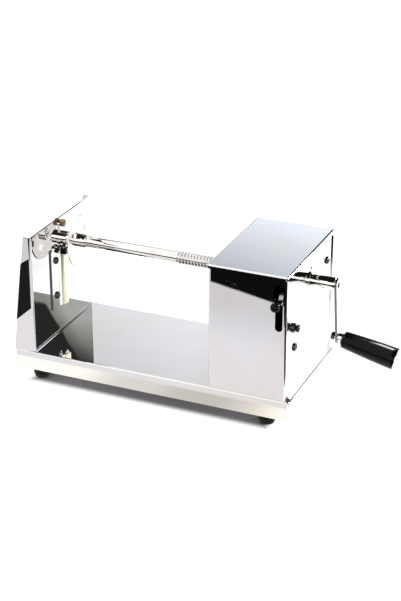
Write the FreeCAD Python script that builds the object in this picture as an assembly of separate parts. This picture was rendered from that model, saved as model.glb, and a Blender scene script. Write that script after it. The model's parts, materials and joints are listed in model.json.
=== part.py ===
"""Hand-cranked spiral potato cutter, built as separate pieces.

A hollow feed rod with a coarse thread is cranked through a half nut, and pushes
a pronged disc and the potato on it against a fixed knife on the end bracket.
Lengths are millimetres, angles degrees, +Z is up.  The pieces are modelled with
X = 0 on the knife side of the end bracket, Y = 0 at the front edge of the base
and Z = 0 on top of the base.  main() moves the whole machine so that the origin
lies under the middle of its footprint, at the height of the table.
"""
import FreeCAD, Part
import math
import os

V = FreeCAD.Vector
X_AXIS, Y_AXIS, Z_AXIS = V(1, 0, 0), V(0, 1, 0), V(0, 0, 1)

# ---- fits and clearances ---------------------------------------------------
RUN = 0.08            # radial clearance of a shaft in its bearing
SIDE = 0.25           # side play of a turning piece
HOLE_PLAY = 0.25      # radial clearance of a screw in its hole

# ---- base pan --------------------------------------------------------------
BASE_LENGTH = 317.2
BASE_WIDTH = 140.0
BASE_DEPTH = 21.0
BASE_SHEET = 1.5
BASE_OVERHANG = 25.8  # base that shows beyond the end bracket
BASE_CORNER_R = 4.0
BASE_BEND_R = 2.0
LIP_WIDTH = 24.0      # in-turned lips under the long sides
LIP_SETBACK = 6.0

# ---- feet ------------------------------------------------------------------
FOOT_HEIGHT = 11.4
FOOT_TOP_R = 9.7
FOOT_SOLE_R = 8.2
FOOT_INSET_X = 28.0
FOOT_INSET_Y = 11.5
FOOT_STUD_R = 2.5
FOOT_STUD_SUNK = 6.0

# ---- feed rod --------------------------------------------------------------
ROD_Y = BASE_WIDTH / 2
ROD_Z = 107.4
ROD_R = 6.0
THREAD_R = 6.75       # crests of the thread, and the plain end behind it
THREAD_PITCH = 3.6
THREAD_START = 138.0
FEED_TURNS = 34
SKEWER_BORE_R = 3.0
ROD_SPIGOT_R = 4.5
ROD_REACH = 26.9      # bare rod outside the housing when fully wound in

# ---- end bracket -----------------------------------------------------------
BRACKET_RISE = 23.8   # the bracket stands this far above the rod's axis
BRACKET_HEIGHT = ROD_Z + BRACKET_RISE
BRACKET_SHEET = 1.5
BRACKET_BEND_R = 2.6
FLANGE_TOP = 8.4      # depth of the side flanges at the top edge
FLANGE_SETBACK = 1.5  # where they stand, back from the base's end
FLANGE_FOOT = BASE_OVERHANG - FLANGE_SETBACK
TAB_DEPTH = 18.0
TAB_RIVET_INSET = 25.0
SIDE_INSET = 1.0      # bracket and housing stand this far inside the base
PAD_THICKNESS = 1.2
PAD_CORNER_R = 3.0
PAD_INNER_TOP = BRACKET_HEIGHT - 23.2
PAD_OUTER_TOP = BRACKET_HEIGHT - 29.7
PAD_OUTER_LOW = BRACKET_HEIGHT - 95.9
PAD_INNER_LOW = BRACKET_HEIGHT - 80.2

# ---- guide tube and its strap ----------------------------------------------
STRAP_SHEET = 1.5
STRAP_WIDTH = 14.0
STRAP_TILT = 10.2
STRAP_UP = 18.6
STRAP_DOWN = 10.8
GUIDE_R = 7.5
GUIDE_END = 9.4
GUIDE_SPIGOT_R = 5.0
GUIDE_BORE_R = 3.5
GUIDE_NUT_HEIGHT = 4.0
GUIDE_NUT_FLATS = 16.0

# ---- pusher disc -----------------------------------------------------------
DISC_R = 28.2
DISC_SHEET = 1.5
DISC_FACE = 21.4      # potato side of the disc
PRONGS = 4
PRONG_LENGTH = 8.4
PRONG_WIDTH = 6.6
PRONG_PITCH_R = 15.2
PRONG_SLOT = 4.8
PRONG_PHASE = 60.6
COLLAR_R = 7.0
COLLAR_LENGTH = 8.0
END_NUT_R = 6.6
END_NUT_REACH = 4.35

# ---- knife -----------------------------------------------------------------
CARRIER_SHEET = 1.5
CARRIER_EDGE_Y = ROD_Y - 27.7
CARRIER_BEND_Y = ROD_Y - 12.0
CARRIER_END_Y = ROD_Y - 4.0
CARRIER_LOW = ROD_Z - 76.4
CARRIER_TOP = ROD_Z - 6.9
KNIFE_TOP = ROD_Z - 14.4
KNIFE_PITCH = 18.0    # degrees that the knife leans off the bracket
KNIFE_SHEET = 1.1
KNIFE_START_Y = ROD_Y - 7.5
KNIFE_WIDTH = 8.6
KNIFE_BEVEL = 2.2
KNIFE_SCREW_Y = ROD_Y - 17.5
KNIFE_SCREW_ZS = (ROD_Z - 61.4, ROD_Z - 20.4)
SLOT_NEAR_Y = ROD_Y - 3.4    # slice slot through the bracket, under the knife
SLOT_FAR_Y = ROD_Y + 10.0
SLOT_LOW = CARRIER_LOW
SLOT_TOP = KNIFE_TOP - 2.0

# ---- housing ---------------------------------------------------------------
HOUSING_LENGTH = 87.0
HOUSING_SETBACK = 4.8     # from the base's end
HOUSING_RISE = 29.9   # the lid lies this far above the rod's axis
HOUSING_HEIGHT = ROD_Z + HOUSING_RISE
HOUSING_SHEET = 1.2
HOUSING_BEND_R = 3.0
COVER_LIP = 4.2
COVER_BEND_R = 1.8
CORNER_RELIEF = 2.4
REAR_FLANGE = 12.0
FLOOR_TAB = 13.0
FLOOR_TAB_SETBACK = 18.0
FLOOR_RIVET_INSET = 12.0
COVER_SCREW_LOW = 18.0
COVER_SCREW_DROP = 27.0      # from the lid
LEVER_SLOT_DROP = 10.3
LEVER_SLOT_LENGTH = 50.0
LEVER_SLOT_R = 4.0
SLOT_HEAD_R = 5.7
SLOT_HEAD_LENGTH = 18.0

# ---- rod bushes ------------------------------------------------------------
BUSH_R = 8.8
BUSH_FLANGE_R = 10.6
BUSH_FLANGE = 1.5
BUSH_NOSE = 1.4

# ---- clutch ----------------------------------------------------------------
LEVER_SHEET = 4.6
LEVER_WALL_GAP = 4.6  # from the lever to the inside of the housing wall
LEVER_EYE_R = 9.0
LEVER_ARM_WIDTH = 16.0
LEVER_WEB_WIDTH = 18.0
LEVER_DROP = 20.0     # the lever dips this far to pass under the rod
LEVER_WEB_HALF = 20.0
LEVER_NOSE_Y = 14.0
PIVOT_INSET = 18.0    # from the back of the base
PIVOT_Y = BASE_WIDTH - PIVOT_INSET
PIVOT_Z = ROD_Z + 1.0
PIVOT_R = 3.0
CLUTCH_THROW = 12.0
HALF_NUT_LENGTH = 18.0
HALF_NUT_WIDTH = 24.0
HALF_NUT_TOP_GAP = 2.6    # top of the half nut lies this far under the rod's axis
HALF_NUT_SCREW_SPREAD = 12.0
KNOB_PIN_R = 2.0
KNOB_PIN_SUNK = 6.0
KNOB_R = 4.9
KNOB_Y = -9.5

# ---- clutch spring and its bracket -----------------------------------------
SPRING_Y = ROD_Y - 20.0
SPRING_R = 5.0
SPRING_WIRE = 1.2
SPRING_SHELF_Z = ROD_Z - 61.4
SPRING_BRACKET_SHEET = 1.5
SPRING_BRACKET_TOP = ROD_Z - 25.4
SPRING_BRACKET_FRONT = 15.0
SPRING_LEG_WIDTH = 18.0
SPRING_LEG_STEP = 12.0       # from the shelf to the foot of the narrow leg
STOP_BOLT_Y, STOP_BOLT_Z = 23.3, ROD_Z - 33.6
LOW_SCREW_Y, LOW_SCREW_Z = 27.9, ROD_Z - 57.2

# ---- crank -----------------------------------------------------------------
CRANK_RADIUS = 65.0
CRANK_ANGLE = 9.0     # the crank hangs this far behind straight down
ARM_SHEET = 2.5
ARM_WIDTH = 13.0
FERRULE_R = 5.2
FERRULE_IN = 3.0
FERRULE_OUT = 4.0
GRIP_DROOP = 13.0     # the grip's axis falls this much below the rod's
GRIP_LENGTH = 58.0
GRIP_NECK_R = 9.0
GRIP_END_R = 11.5
GRIP_EDGE_R = 1.5
GRIP_BOLT_R = 2.5
GRIP_HEAD_R = 4.4
GRIP_HEAD_HEIGHT = 3.2
GRIP_CAP_DOME = 2.2
GRIP_CAP_PLUG = 3.0
WASHER = 1.0

# ---- places worked out from the sizes above --------------------------------
BASE_START = -BASE_OVERHANG
BASE_END = BASE_START + BASE_LENGTH
SOLE_Z = -BASE_DEPTH - FOOT_HEIGHT
HOUSING_END = BASE_END - HOUSING_SETBACK
HOUSING_START = HOUSING_END - HOUSING_LENGTH
LEVER_SLOT_TOP = HOUSING_HEIGHT - LEVER_SLOT_DROP
LEVER_SLOT_LOW = LEVER_SLOT_TOP - LEVER_SLOT_LENGTH
SHELL_START = HOUSING_START + HOUSING_SHEET
SHELL_END = HOUSING_END - HOUSING_SHEET
SHELL_FRONT = SIDE_INSET + HOUSING_SHEET
SHELL_BACK = BASE_WIDTH - SIDE_INSET - HOUSING_SHEET
SHELL_TOP = HOUSING_HEIGHT - HOUSING_SHEET
WALL_INSIDE = SHELL_END - HOUSING_SHEET
LEVER_END_X = WALL_INSIDE - LEVER_WALL_GAP
LEVER_START_X = LEVER_END_X - LEVER_SHEET
LEVER_MID_X = (LEVER_START_X + LEVER_END_X) / 2
WEB_Z = PIVOT_Z - LEVER_DROP
DISC_BACK = DISC_FACE + DISC_SHEET
ROD_TIP = DISC_FACE - END_NUT_REACH
ARM_START = HOUSING_END + ROD_REACH
ARM_END = ARM_START + ARM_SHEET
HOUSING_SEAM = SHELL_FRONT + HOUSING_BEND_R + 1.0
CRANK_EYE = V((ARM_START + ARM_END) / 2, ROD_Y, ROD_Z - CRANK_RADIUS)
GRIP_DIRECTION = V(math.cos(math.radians(GRIP_DROOP)), 0, -math.sin(math.radians(GRIP_DROOP)))
GRIP_START = FERRULE_OUT + WASHER + SIDE
GRIP_STOP = GRIP_START + GRIP_LENGTH


# ---- small shape helpers ---------------------------------------------------
def block(x0, x1, y0, y1, z0, z1):
    return Part.makeBox(x1 - x0, y1 - y0, z1 - z0, V(x0, y0, z0))


def rod_between(start, end, radius):
    along = end.sub(start)
    return Part.makeCylinder(radius, along.Length, start, along)


def x_cylinder(x0, x1, y, z, radius):
    return rod_between(V(x0, y, z), V(x1, y, z), radius)


def z_cylinder(z0, z1, x, y, radius):
    return rod_between(V(x, y, z0), V(x, y, z1), radius)


def prism(outline, along):
    """A solid from a closed outline of points, pushed along a vector."""
    return Part.Face(Part.makePolygon(outline + outline[:1])).extrude(along)


def turned(profile, foot, along):
    """A solid of revolution: profile is (radius, height) points from the axis
    round to the axis again, set at foot with its height along a direction."""
    points = [V(radius, 0, height) for radius, height in profile]
    face = Part.Face(Part.makePolygon(points + points[:1]))
    return aimed(face.revolve(V(0, 0, 0), Z_AXIS, 360), foot, along)


def aimed(shape, foot, along):
    """Turn a shape modelled on +Z so that it points along a direction."""
    copy = shape.copy()
    copy.Placement = FreeCAD.Placement(foot, FreeCAD.Rotation(Z_AXIS, along)).multiply(copy.Placement)
    return copy


def yz_bar(y0, z0, y1, z1, width, x0, x1):
    """A flat bar with round ends, lying in a YZ plane."""
    start, end = V(x0, y0, z0), V(x0, y1, z1)
    along = end.sub(start)
    across = X_AXIS.cross(along).normalize().multiply(width / 2)
    corners = [start + across, end + across, end - across, start - across]
    bar = prism(corners, V(x1 - x0, 0, 0))
    for y, z in ((y0, z0), (y1, z1)):
        bar = bar.fuse(x_cylinder(x0, x1, y, z, width / 2))
    return bar.removeSplitter()


def fillet_where(shape, radius, wanted):
    edges = [edge for edge in shape.Edges if wanted(edge)]
    return shape.makeFillet(radius, edges) if edges else shape


def runs_along(edge, axis):
    """True for a straight edge parallel to an axis."""
    first, last = edge.Vertexes[0].Point, edge.Vertexes[-1].Point
    span = last.sub(first)
    return span.Length > 0 and abs(abs(span.dot(axis)) - span.Length) < 1e-6


def pan_screw(foot, along, radius, grip, head_r, head_height):
    """A domed screw: foot is under its head, and along points out of the head."""
    profile = [(0, -grip), (radius, -grip), (radius, 0), (head_r, 0),
               (head_r, head_height * 0.4), (head_r * 0.6, head_height), (0, head_height)]
    return turned(profile, foot, along)


def hexagon(foot, along, across_flats, height, bore_r=0.0):
    """A hexagonal nut or head standing on foot."""
    corner_r = across_flats / math.sqrt(3)
    corners = [V(corner_r * math.cos(math.radians(60 * k)), corner_r * math.sin(math.radians(60 * k)), 0)
               for k in range(6)]
    body = prism(corners, V(0, 0, height))
    if bore_r:
        body = body.cut(Part.makeCylinder(bore_r, height))
    return aimed(body, foot, along)


# ---- base and feet ---------------------------------------------------------
def foot_places():
    """Centres of the four feet, by the name of the corner."""
    ends = {"left": BASE_START + FOOT_INSET_X, "right": BASE_END - FOOT_INSET_X}
    sides = {"front": FOOT_INSET_Y, "rear": BASE_WIDTH - FOOT_INSET_Y}
    return {f"{side}_{end}": (x, y) for end, x in ends.items() for side, y in sides.items()}


def make_base_pan():
    """A folded sheet pan, open below, with lips turned in under its long sides."""
    outer = block(BASE_START, BASE_END, 0, BASE_WIDTH, -BASE_DEPTH, 0)
    outer = fillet_where(outer, BASE_CORNER_R, lambda edge: runs_along(edge, Z_AXIS))
    outer = fillet_where(outer, BASE_BEND_R, lambda edge: edge.BoundBox.ZMin > -1e-6)
    hollow = block(BASE_START + BASE_SHEET, BASE_END - BASE_SHEET,
                   BASE_SHEET, BASE_WIDTH - BASE_SHEET, -BASE_DEPTH, -BASE_SHEET)
    hollow = fillet_where(hollow, BASE_CORNER_R - BASE_SHEET, lambda edge: runs_along(edge, Z_AXIS))
    pan = outer.cut(hollow)
    for y0, y1 in ((BASE_SHEET / 2, LIP_WIDTH), (BASE_WIDTH - LIP_WIDTH, BASE_WIDTH - BASE_SHEET / 2)):
        lip = block(BASE_START + LIP_SETBACK, BASE_END - LIP_SETBACK, y0, y1,
                    -BASE_DEPTH, -BASE_DEPTH + BASE_SHEET)
        pan = pan.fuse(lip)
    holes = [z_cylinder(-BASE_DEPTH, -BASE_DEPTH + BASE_SHEET, x, y, FOOT_STUD_R + HOLE_PLAY)
             for x, y in foot_places().values()]
    holes += [z_cylinder(-BASE_SHEET, 0, x, y, RIVET_R + HOLE_PLAY)
              for x, y in bracket_rivet_places() + housing_rivet_places()]
    return pan.cut(Part.makeCompound(holes)).removeSplitter()


def make_foot(x, y):
    """A tapered rubber foot moulded over the end of its stud."""
    rim = 1.2
    profile = [(0, 0), (FOOT_SOLE_R - rim, 0), (FOOT_SOLE_R, rim), (FOOT_TOP_R, FOOT_HEIGHT * 0.7),
               (FOOT_TOP_R, FOOT_HEIGHT), (FOOT_STUD_R, FOOT_HEIGHT),
               (FOOT_STUD_R, FOOT_HEIGHT - FOOT_STUD_SUNK), (0, FOOT_HEIGHT - FOOT_STUD_SUNK)]
    return turned(profile, V(x, y, SOLE_Z), Z_AXIS)


FOOT_NUT_HEIGHT = 3.2
FOOT_NUT_FLATS = 8.0


def make_foot_stud(x, y):
    top = -BASE_DEPTH + BASE_SHEET + FOOT_NUT_HEIGHT + 1.0
    return z_cylinder(-BASE_DEPTH - FOOT_STUD_SUNK, top, x, y, FOOT_STUD_R)


def make_foot_nut(x, y):
    return hexagon(V(x, y, -BASE_DEPTH + BASE_SHEET), Z_AXIS, FOOT_NUT_FLATS, FOOT_NUT_HEIGHT, FOOT_STUD_R)


# ---- rivets that hold the bracket and the housing down ---------------------
RIVET_R = 2.0
RIVET_HEAD_R = 3.8
RIVET_HEAD_HEIGHT = 1.6


def bracket_rivet_places():
    x = -BRACKET_SHEET - TAB_DEPTH / 2
    spread = BASE_WIDTH / 2 - TAB_RIVET_INSET
    return [(x, ROD_Y + offset) for offset in (-spread, 0, spread)]


def housing_rivet_places():
    near = SHELL_START + HOUSING_SHEET + FLOOR_TAB * 0.6
    far = WALL_INSIDE - FLOOR_TAB * 0.6
    spread = BASE_WIDTH / 2 - FLOOR_TAB_SETBACK - FLOOR_RIVET_INSET
    return [(x, ROD_Y + offset) for x in (near, far) for offset in (-spread, spread)]


def make_rivet(x, y, sheet_top):
    """A domed rivet through a tab and the base, closed under the base."""
    low = -BASE_SHEET - sheet_top
    profile = [(0, low - RIVET_HEAD_HEIGHT), (RIVET_HEAD_R * 0.6, low - RIVET_HEAD_HEIGHT),
               (RIVET_HEAD_R * 0.8, low), (RIVET_R, low), (RIVET_R, 0), (RIVET_HEAD_R, 0),
               (RIVET_HEAD_R * 0.7, RIVET_HEAD_HEIGHT * 0.75), (0, RIVET_HEAD_HEIGHT)]
    return turned(profile, V(x, y, sheet_top), Z_AXIS)


# ---- end bracket -----------------------------------------------------------
def flange_edge_x(z):
    """X of the slanting outer edge of the side flanges at a height."""
    return -FLANGE_FOOT + (FLANGE_FOOT - FLANGE_TOP) * z / BRACKET_HEIGHT


def foot_bend(y0, y1):
    """Quarter of a tube that joins the upright plate to its foot tab."""
    start, end = V(-BRACKET_BEND_R, y0, BRACKET_BEND_R), V(-BRACKET_BEND_R, y1, BRACKET_BEND_R)
    tube = rod_between(start, end, BRACKET_BEND_R).cut(rod_between(start, end, BRACKET_BEND_R - BRACKET_SHEET))
    return tube.common(block(-BRACKET_BEND_R, 0, y0, y1, 0, BRACKET_BEND_R))


def make_end_bracket():
    """A folded upright: mirror plate, two tapering side flanges and a foot tab."""
    y0, y1 = SIDE_INSET, BASE_WIDTH - SIDE_INSET
    outline = [V(0, y0, 0), V(0, y0, BRACKET_HEIGHT), V(-FLANGE_TOP, y0, BRACKET_HEIGHT),
               V(-FLANGE_FOOT, y0, 0)]
    bracket = prism(outline, V(0, y1 - y0, 0))
    bracket = fillet_where(bracket, BRACKET_BEND_R,
                           lambda edge: runs_along(edge, Z_AXIS) and edge.BoundBox.XMin > -1e-6)
    channel = block(-FLANGE_FOOT - 1, -BRACKET_SHEET, y0 + BRACKET_SHEET, y1 - BRACKET_SHEET,
                    -1, BRACKET_HEIGHT + 1)
    channel = fillet_where(channel, BRACKET_BEND_R - BRACKET_SHEET,
                           lambda edge: runs_along(edge, Z_AXIS) and edge.BoundBox.XMin > -FLANGE_FOOT)
    tab_sides = y0 + BRACKET_BEND_R, y1 - BRACKET_BEND_R
    square_foot = block(-BRACKET_BEND_R, 1, *tab_sides, -1, BRACKET_BEND_R)
    tab = block(-BRACKET_SHEET - TAB_DEPTH, -BRACKET_BEND_R, *tab_sides, 0, BRACKET_SHEET)
    bracket = bracket.cut(channel).cut(square_foot).fuse(foot_bend(*tab_sides)).fuse(tab)
    slice_slot = yz_bar((SLOT_NEAR_Y + SLOT_FAR_Y) / 2, SLOT_LOW + (SLOT_FAR_Y - SLOT_NEAR_Y) / 2,
                        (SLOT_NEAR_Y + SLOT_FAR_Y) / 2, SLOT_TOP - (SLOT_FAR_Y - SLOT_NEAR_Y) / 2,
                        SLOT_FAR_Y - SLOT_NEAR_Y, -BRACKET_SHEET - 1, 1)
    holes = [x_cylinder(-BRACKET_SHEET, 0, ROD_Y, ROD_Z, GUIDE_SPIGOT_R + HOLE_PLAY)]
    holes += [x_cylinder(-BRACKET_SHEET, 0, y, z, radius + HOLE_PLAY)
              for y, z, radius in strap_screw_places() + knife_screw_places()]
    holes += [z_cylinder(0, BRACKET_SHEET, x, y, RIVET_R + HOLE_PLAY) for x, y in bracket_rivet_places()]
    return bracket.cut(Part.makeCompound([slice_slot] + holes)).removeSplitter()


def make_grip_pad(outer_y, inner_y):
    """A black pad on a side flange, shaped like the flange that it lies on."""
    inner_x = -BRACKET_BEND_R
    outline = [V(inner_x, outer_y, PAD_INNER_TOP), V(flange_edge_x(PAD_OUTER_TOP), outer_y, PAD_OUTER_TOP),
               V(flange_edge_x(PAD_OUTER_LOW), outer_y, PAD_OUTER_LOW), V(inner_x, outer_y, PAD_INNER_LOW)]
    pad = prism(outline, V(0, inner_y - outer_y, 0))
    return fillet_where(pad, PAD_CORNER_R, lambda edge: runs_along(edge, Y_AXIS)
                        and edge.BoundBox.ZMin > PAD_OUTER_TOP - 1
                        and edge.BoundBox.XMax < inner_x - 1)


# ---- guide tube ------------------------------------------------------------
STRAP_STUD_R = 2.5
STRAP_SCREW_R = 1.5


def strap_screw_places():
    """Stud above the guide tube and small screw below it, on the tilted strap."""
    lean = math.radians(STRAP_TILT)
    up = (ROD_Y - STRAP_UP * math.sin(lean), ROD_Z + STRAP_UP * math.cos(lean), STRAP_STUD_R)
    down = (ROD_Y + STRAP_DOWN * math.sin(lean), ROD_Z - STRAP_DOWN * math.cos(lean), STRAP_SCREW_R)
    return [up, down]


def make_guide_strap():
    (y0, z0, stud_r), (y1, z1, screw_r) = strap_screw_places()
    waist = STRAP_WIDTH * 0.5
    strap = x_cylinder(0, STRAP_SHEET, ROD_Y, ROD_Z, GUIDE_R + 1.0)
    strap = strap.fuse(yz_bar(y0, z0 - 1.5, ROD_Y, ROD_Z, waist, 0, STRAP_SHEET))
    strap = strap.fuse(yz_bar(ROD_Y, ROD_Z, y1, z1, waist, 0, STRAP_SHEET))
    strap = strap.cut(x_cylinder(0, STRAP_SHEET, ROD_Y, ROD_Z, GUIDE_SPIGOT_R))
    strap = strap.cut(x_cylinder(0, STRAP_SHEET, y0, z0, stud_r))
    return strap.cut(x_cylinder(0, STRAP_SHEET, y1, z1, screw_r + HOLE_PLAY / 2)).removeSplitter()


def make_guide_tube():
    """The skewer's outlet: a tube on the strap, with a spigot through the bracket."""
    back = -BRACKET_SHEET - GUIDE_NUT_HEIGHT - 1.0
    profile = [(GUIDE_BORE_R, back), (GUIDE_SPIGOT_R, back), (GUIDE_SPIGOT_R, STRAP_SHEET),
               (GUIDE_R, STRAP_SHEET), (GUIDE_R, GUIDE_END - 0.8), (GUIDE_R - 0.8, GUIDE_END),
               (GUIDE_BORE_R, GUIDE_END)]
    return turned(profile, V(0, ROD_Y, ROD_Z), X_AXIS)


def make_guide_nut():
    return hexagon(V(-BRACKET_SHEET, ROD_Y, ROD_Z), X_AXIS * -1, GUIDE_NUT_FLATS, GUIDE_NUT_HEIGHT, GUIDE_SPIGOT_R)


def make_strap_bolt():
    """Brass bolt above the guide tube, its nut behind the bracket."""
    y, z, radius = strap_screw_places()[0]
    head = hexagon(V(STRAP_SHEET, y, z), X_AXIS, 7.6, 4.6)
    nut = hexagon(V(-BRACKET_SHEET, y, z), X_AXIS * -1, 8.0, 3.2, radius)
    shank = x_cylinder(-BRACKET_SHEET - 4.2, STRAP_SHEET, y, z, radius)
    return head.fuse(shank).removeSplitter(), nut


def make_strap_screw():
    y, z, radius = strap_screw_places()[1]
    return pan_screw(V(STRAP_SHEET, y, z), X_AXIS, radius, STRAP_SHEET + BRACKET_SHEET, 2.4, 1.8)


# ---- knife -----------------------------------------------------------------
KNIFE_SCREW_R = 2.5


def knife_screw_places():
    return [(KNIFE_SCREW_Y, z, KNIFE_SCREW_R) for z in KNIFE_SCREW_ZS]


def ramp_x(y):
    """Top face of the carrier's sloping part."""
    return CARRIER_SHEET + max(0.0, y - CARRIER_BEND_Y) * math.tan(math.radians(KNIFE_PITCH))


def make_knife_carrier():
    """A bent strip, flat on the bracket and rising to carry the knife."""
    fall = CARRIER_SHEET / math.cos(math.radians(KNIFE_PITCH))
    outline = [(0, CARRIER_EDGE_Y), (CARRIER_SHEET, CARRIER_EDGE_Y), (CARRIER_SHEET, CARRIER_BEND_Y),
               (ramp_x(CARRIER_END_Y), CARRIER_END_Y), (ramp_x(CARRIER_END_Y) - fall, CARRIER_END_Y),
               (0, CARRIER_BEND_Y + (fall - CARRIER_SHEET) / math.tan(math.radians(KNIFE_PITCH)))]
    strip = prism([V(x, y, CARRIER_LOW) for x, y in outline], V(0, 0, CARRIER_TOP - CARRIER_LOW))
    strip = strip.cut(block(-1, ramp_x(CARRIER_END_Y) + 1, CARRIER_BEND_Y, CARRIER_END_Y + 1, KNIFE_TOP, CARRIER_TOP + 1))
    holes = [x_cylinder(0, CARRIER_SHEET, y, z, radius + HOLE_PLAY) for y, z, radius in knife_screw_places()]
    return strip.cut(Part.makeCompound(holes)).removeSplitter()


def make_knife():
    """The slicing blade on the ramp, ground to an edge that faces the potato."""
    lean = math.radians(KNIFE_PITCH)
    along = V(math.sin(lean), math.cos(lean), 0)
    up = V(math.cos(lean), -math.sin(lean), 0)
    root = V(ramp_x(KNIFE_START_Y), KNIFE_START_Y, CARRIER_LOW)
    outline = [root, root + along * KNIFE_WIDTH, root + along * (KNIFE_WIDTH - KNIFE_BEVEL) + up * KNIFE_SHEET,
               root + up * KNIFE_SHEET]
    return prism(outline, V(0, 0, KNIFE_TOP - CARRIER_LOW))


CLAMP_START, CLAMP_END = 2.0, 8.6
CLAMP_FRONT, CLAMP_REAR = ROD_Y - 8.0, ROD_Y - 1.0
CLAMP_RISE = 4.6      # the clamp stands this far above the knife's end
CLAMP_HEIGHT = 6.4
CLAMP_SCREW_R = 1.4
CLAMP_HEAD_R = 2.5
CLAMP_HEAD_HEIGHT = 2.3


def make_knife_clamp():
    """A black block that hooks over the knife's inner end."""
    top = KNIFE_TOP + CLAMP_RISE
    body = block(CLAMP_START, CLAMP_END, CLAMP_FRONT, CLAMP_REAR, top - CLAMP_HEIGHT, top)
    body = body.cut(make_knife().fuse(make_knife_carrier()))
    body = body.cut(z_cylinder(KNIFE_TOP, top, *clamp_screw_place(), CLAMP_SCREW_R))
    return max(body.Solids, key=lambda solid: solid.Volume)


def clamp_screw_place():
    return (CLAMP_START + 3.0, CLAMP_FRONT + 2.8)


def make_clamp_screw():
    """Brass screw down through the clamp, pressing on the knife's end."""
    foot = V(*clamp_screw_place(), KNIFE_TOP + CLAMP_RISE)
    return pan_screw(foot, Z_AXIS, CLAMP_SCREW_R, CLAMP_RISE, CLAMP_HEAD_R, CLAMP_HEAD_HEIGHT)


def make_knife_screw(y, z, radius):
    return pan_screw(V(CARRIER_SHEET, y, z), X_AXIS, radius, CARRIER_SHEET + BRACKET_SHEET + 4.2, 4.0, 2.4)


def make_knife_nut(y, z, radius):
    return hexagon(V(-BRACKET_SHEET, y, z), X_AXIS * -1, 8.0, 3.2, radius)


# ---- feed rod and pusher disc ----------------------------------------------
def make_feed_rod():
    """Hollow rod: spigot, plain length, thread crests, plain end and crank spigot."""
    ease = 0.75
    profile = [(SKEWER_BORE_R, ROD_TIP), (ROD_SPIGOT_R, ROD_TIP), (ROD_SPIGOT_R, DISC_BACK),
               (ROD_R, DISC_BACK), (ROD_R, THREAD_START), (THREAD_R, THREAD_START + ease),
               (THREAD_R, ARM_START), (ROD_SPIGOT_R, ARM_START), (ROD_SPIGOT_R, ARM_END),
               (SKEWER_BORE_R, ARM_END)]
    return turned(profile, V(0, ROD_Y, ROD_Z), X_AXIS)


def around_rod(shape, angle):
    """A copy turned about the rod's axis."""
    copy = shape.copy()
    copy.rotate(V(0, ROD_Y, ROD_Z), X_AXIS, angle)
    return copy


def make_pusher_disc():
    """A pressed disc with prongs cut free of it and bent over to hold the potato."""
    disc = turned([(ROD_SPIGOT_R, 0), (DISC_R - 0.5, 0), (DISC_R, 0.5), (DISC_R, DISC_SHEET),
                   (ROD_SPIGOT_R, DISC_SHEET)], V(DISC_FACE, ROD_Y, ROD_Z), X_AXIS)
    low, high = PRONG_PITCH_R - PRONG_WIDTH / 2, PRONG_PITCH_R + PRONG_WIDTH / 2
    gap = block(DISC_FACE, DISC_BACK, ROD_Y + low, ROD_Y + high, ROD_Z - PRONG_SLOT, ROD_Z)
    tip = DISC_FACE - PRONG_LENGTH
    outline = [V(DISC_BACK, ROD_Y + low, ROD_Z), V(DISC_BACK, ROD_Y + high, ROD_Z),
               V(DISC_FACE, ROD_Y + high, ROD_Z), V(tip, ROD_Y + PRONG_PITCH_R + 0.6, ROD_Z),
               V(tip, ROD_Y + PRONG_PITCH_R - 0.6, ROD_Z), V(DISC_FACE, ROD_Y + low, ROD_Z)]
    prong = prism(outline, V(0, 0, DISC_SHEET))
    for k in range(PRONGS):
        angle = PRONG_PHASE + k * 360 / PRONGS
        disc = disc.cut(around_rod(gap, angle)).fuse(around_rod(prong, angle))
    return disc.removeSplitter()


def make_disc_collar():
    """Collar behind the disc, with a grub screw hole."""
    ease = 0.8
    profile = [(ROD_R, DISC_BACK), (COLLAR_R, DISC_BACK), (COLLAR_R, DISC_BACK + COLLAR_LENGTH - ease),
               (COLLAR_R - ease, DISC_BACK + COLLAR_LENGTH), (ROD_R, DISC_BACK + COLLAR_LENGTH)]
    collar = turned(profile, V(0, ROD_Y, ROD_Z), X_AXIS)
    return collar.cut(z_cylinder(ROD_Z, ROD_Z + COLLAR_R, DISC_BACK + COLLAR_LENGTH / 2, ROD_Y, GRUB_R))


GRUB_R = 1.4


def make_collar_grub():
    return z_cylinder(ROD_Z + ROD_R, ROD_Z + COLLAR_R + 0.6, DISC_BACK + COLLAR_LENGTH / 2, ROD_Y, GRUB_R)


def make_rod_end_nut():
    """Round nut that holds the disc on the rod's tip."""
    ease = 0.8
    profile = [(ROD_SPIGOT_R, ROD_TIP), (END_NUT_R - ease, ROD_TIP), (END_NUT_R, ROD_TIP + ease),
               (END_NUT_R, DISC_FACE), (ROD_SPIGOT_R, DISC_FACE)]
    return turned(profile, V(0, ROD_Y, ROD_Z), X_AXIS)


# ---- housing ---------------------------------------------------------------
def make_housing_front():
    """Front wall with the lever slot; its bent edges run back to the side walls."""
    sheet = HOUSING_SHEET
    outer = block(SHELL_START, SHELL_END, SHELL_FRONT, HOUSING_SEAM, 0, SHELL_TOP)
    outer = fillet_where(outer, HOUSING_BEND_R,
                         lambda edge: runs_along(edge, Z_AXIS) and edge.BoundBox.YMax < SHELL_FRONT + 1)
    inner = block(SHELL_START + sheet, SHELL_END - sheet, SHELL_FRONT + sheet, HOUSING_SEAM + 1,
                  -1, SHELL_TOP + 1)
    inner = fillet_where(inner, HOUSING_BEND_R - sheet,
                         lambda edge: runs_along(edge, Z_AXIS) and edge.BoundBox.YMax < SHELL_FRONT + sheet + 1)
    return outer.cut(inner).cut(lever_slot()).removeSplitter()


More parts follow.
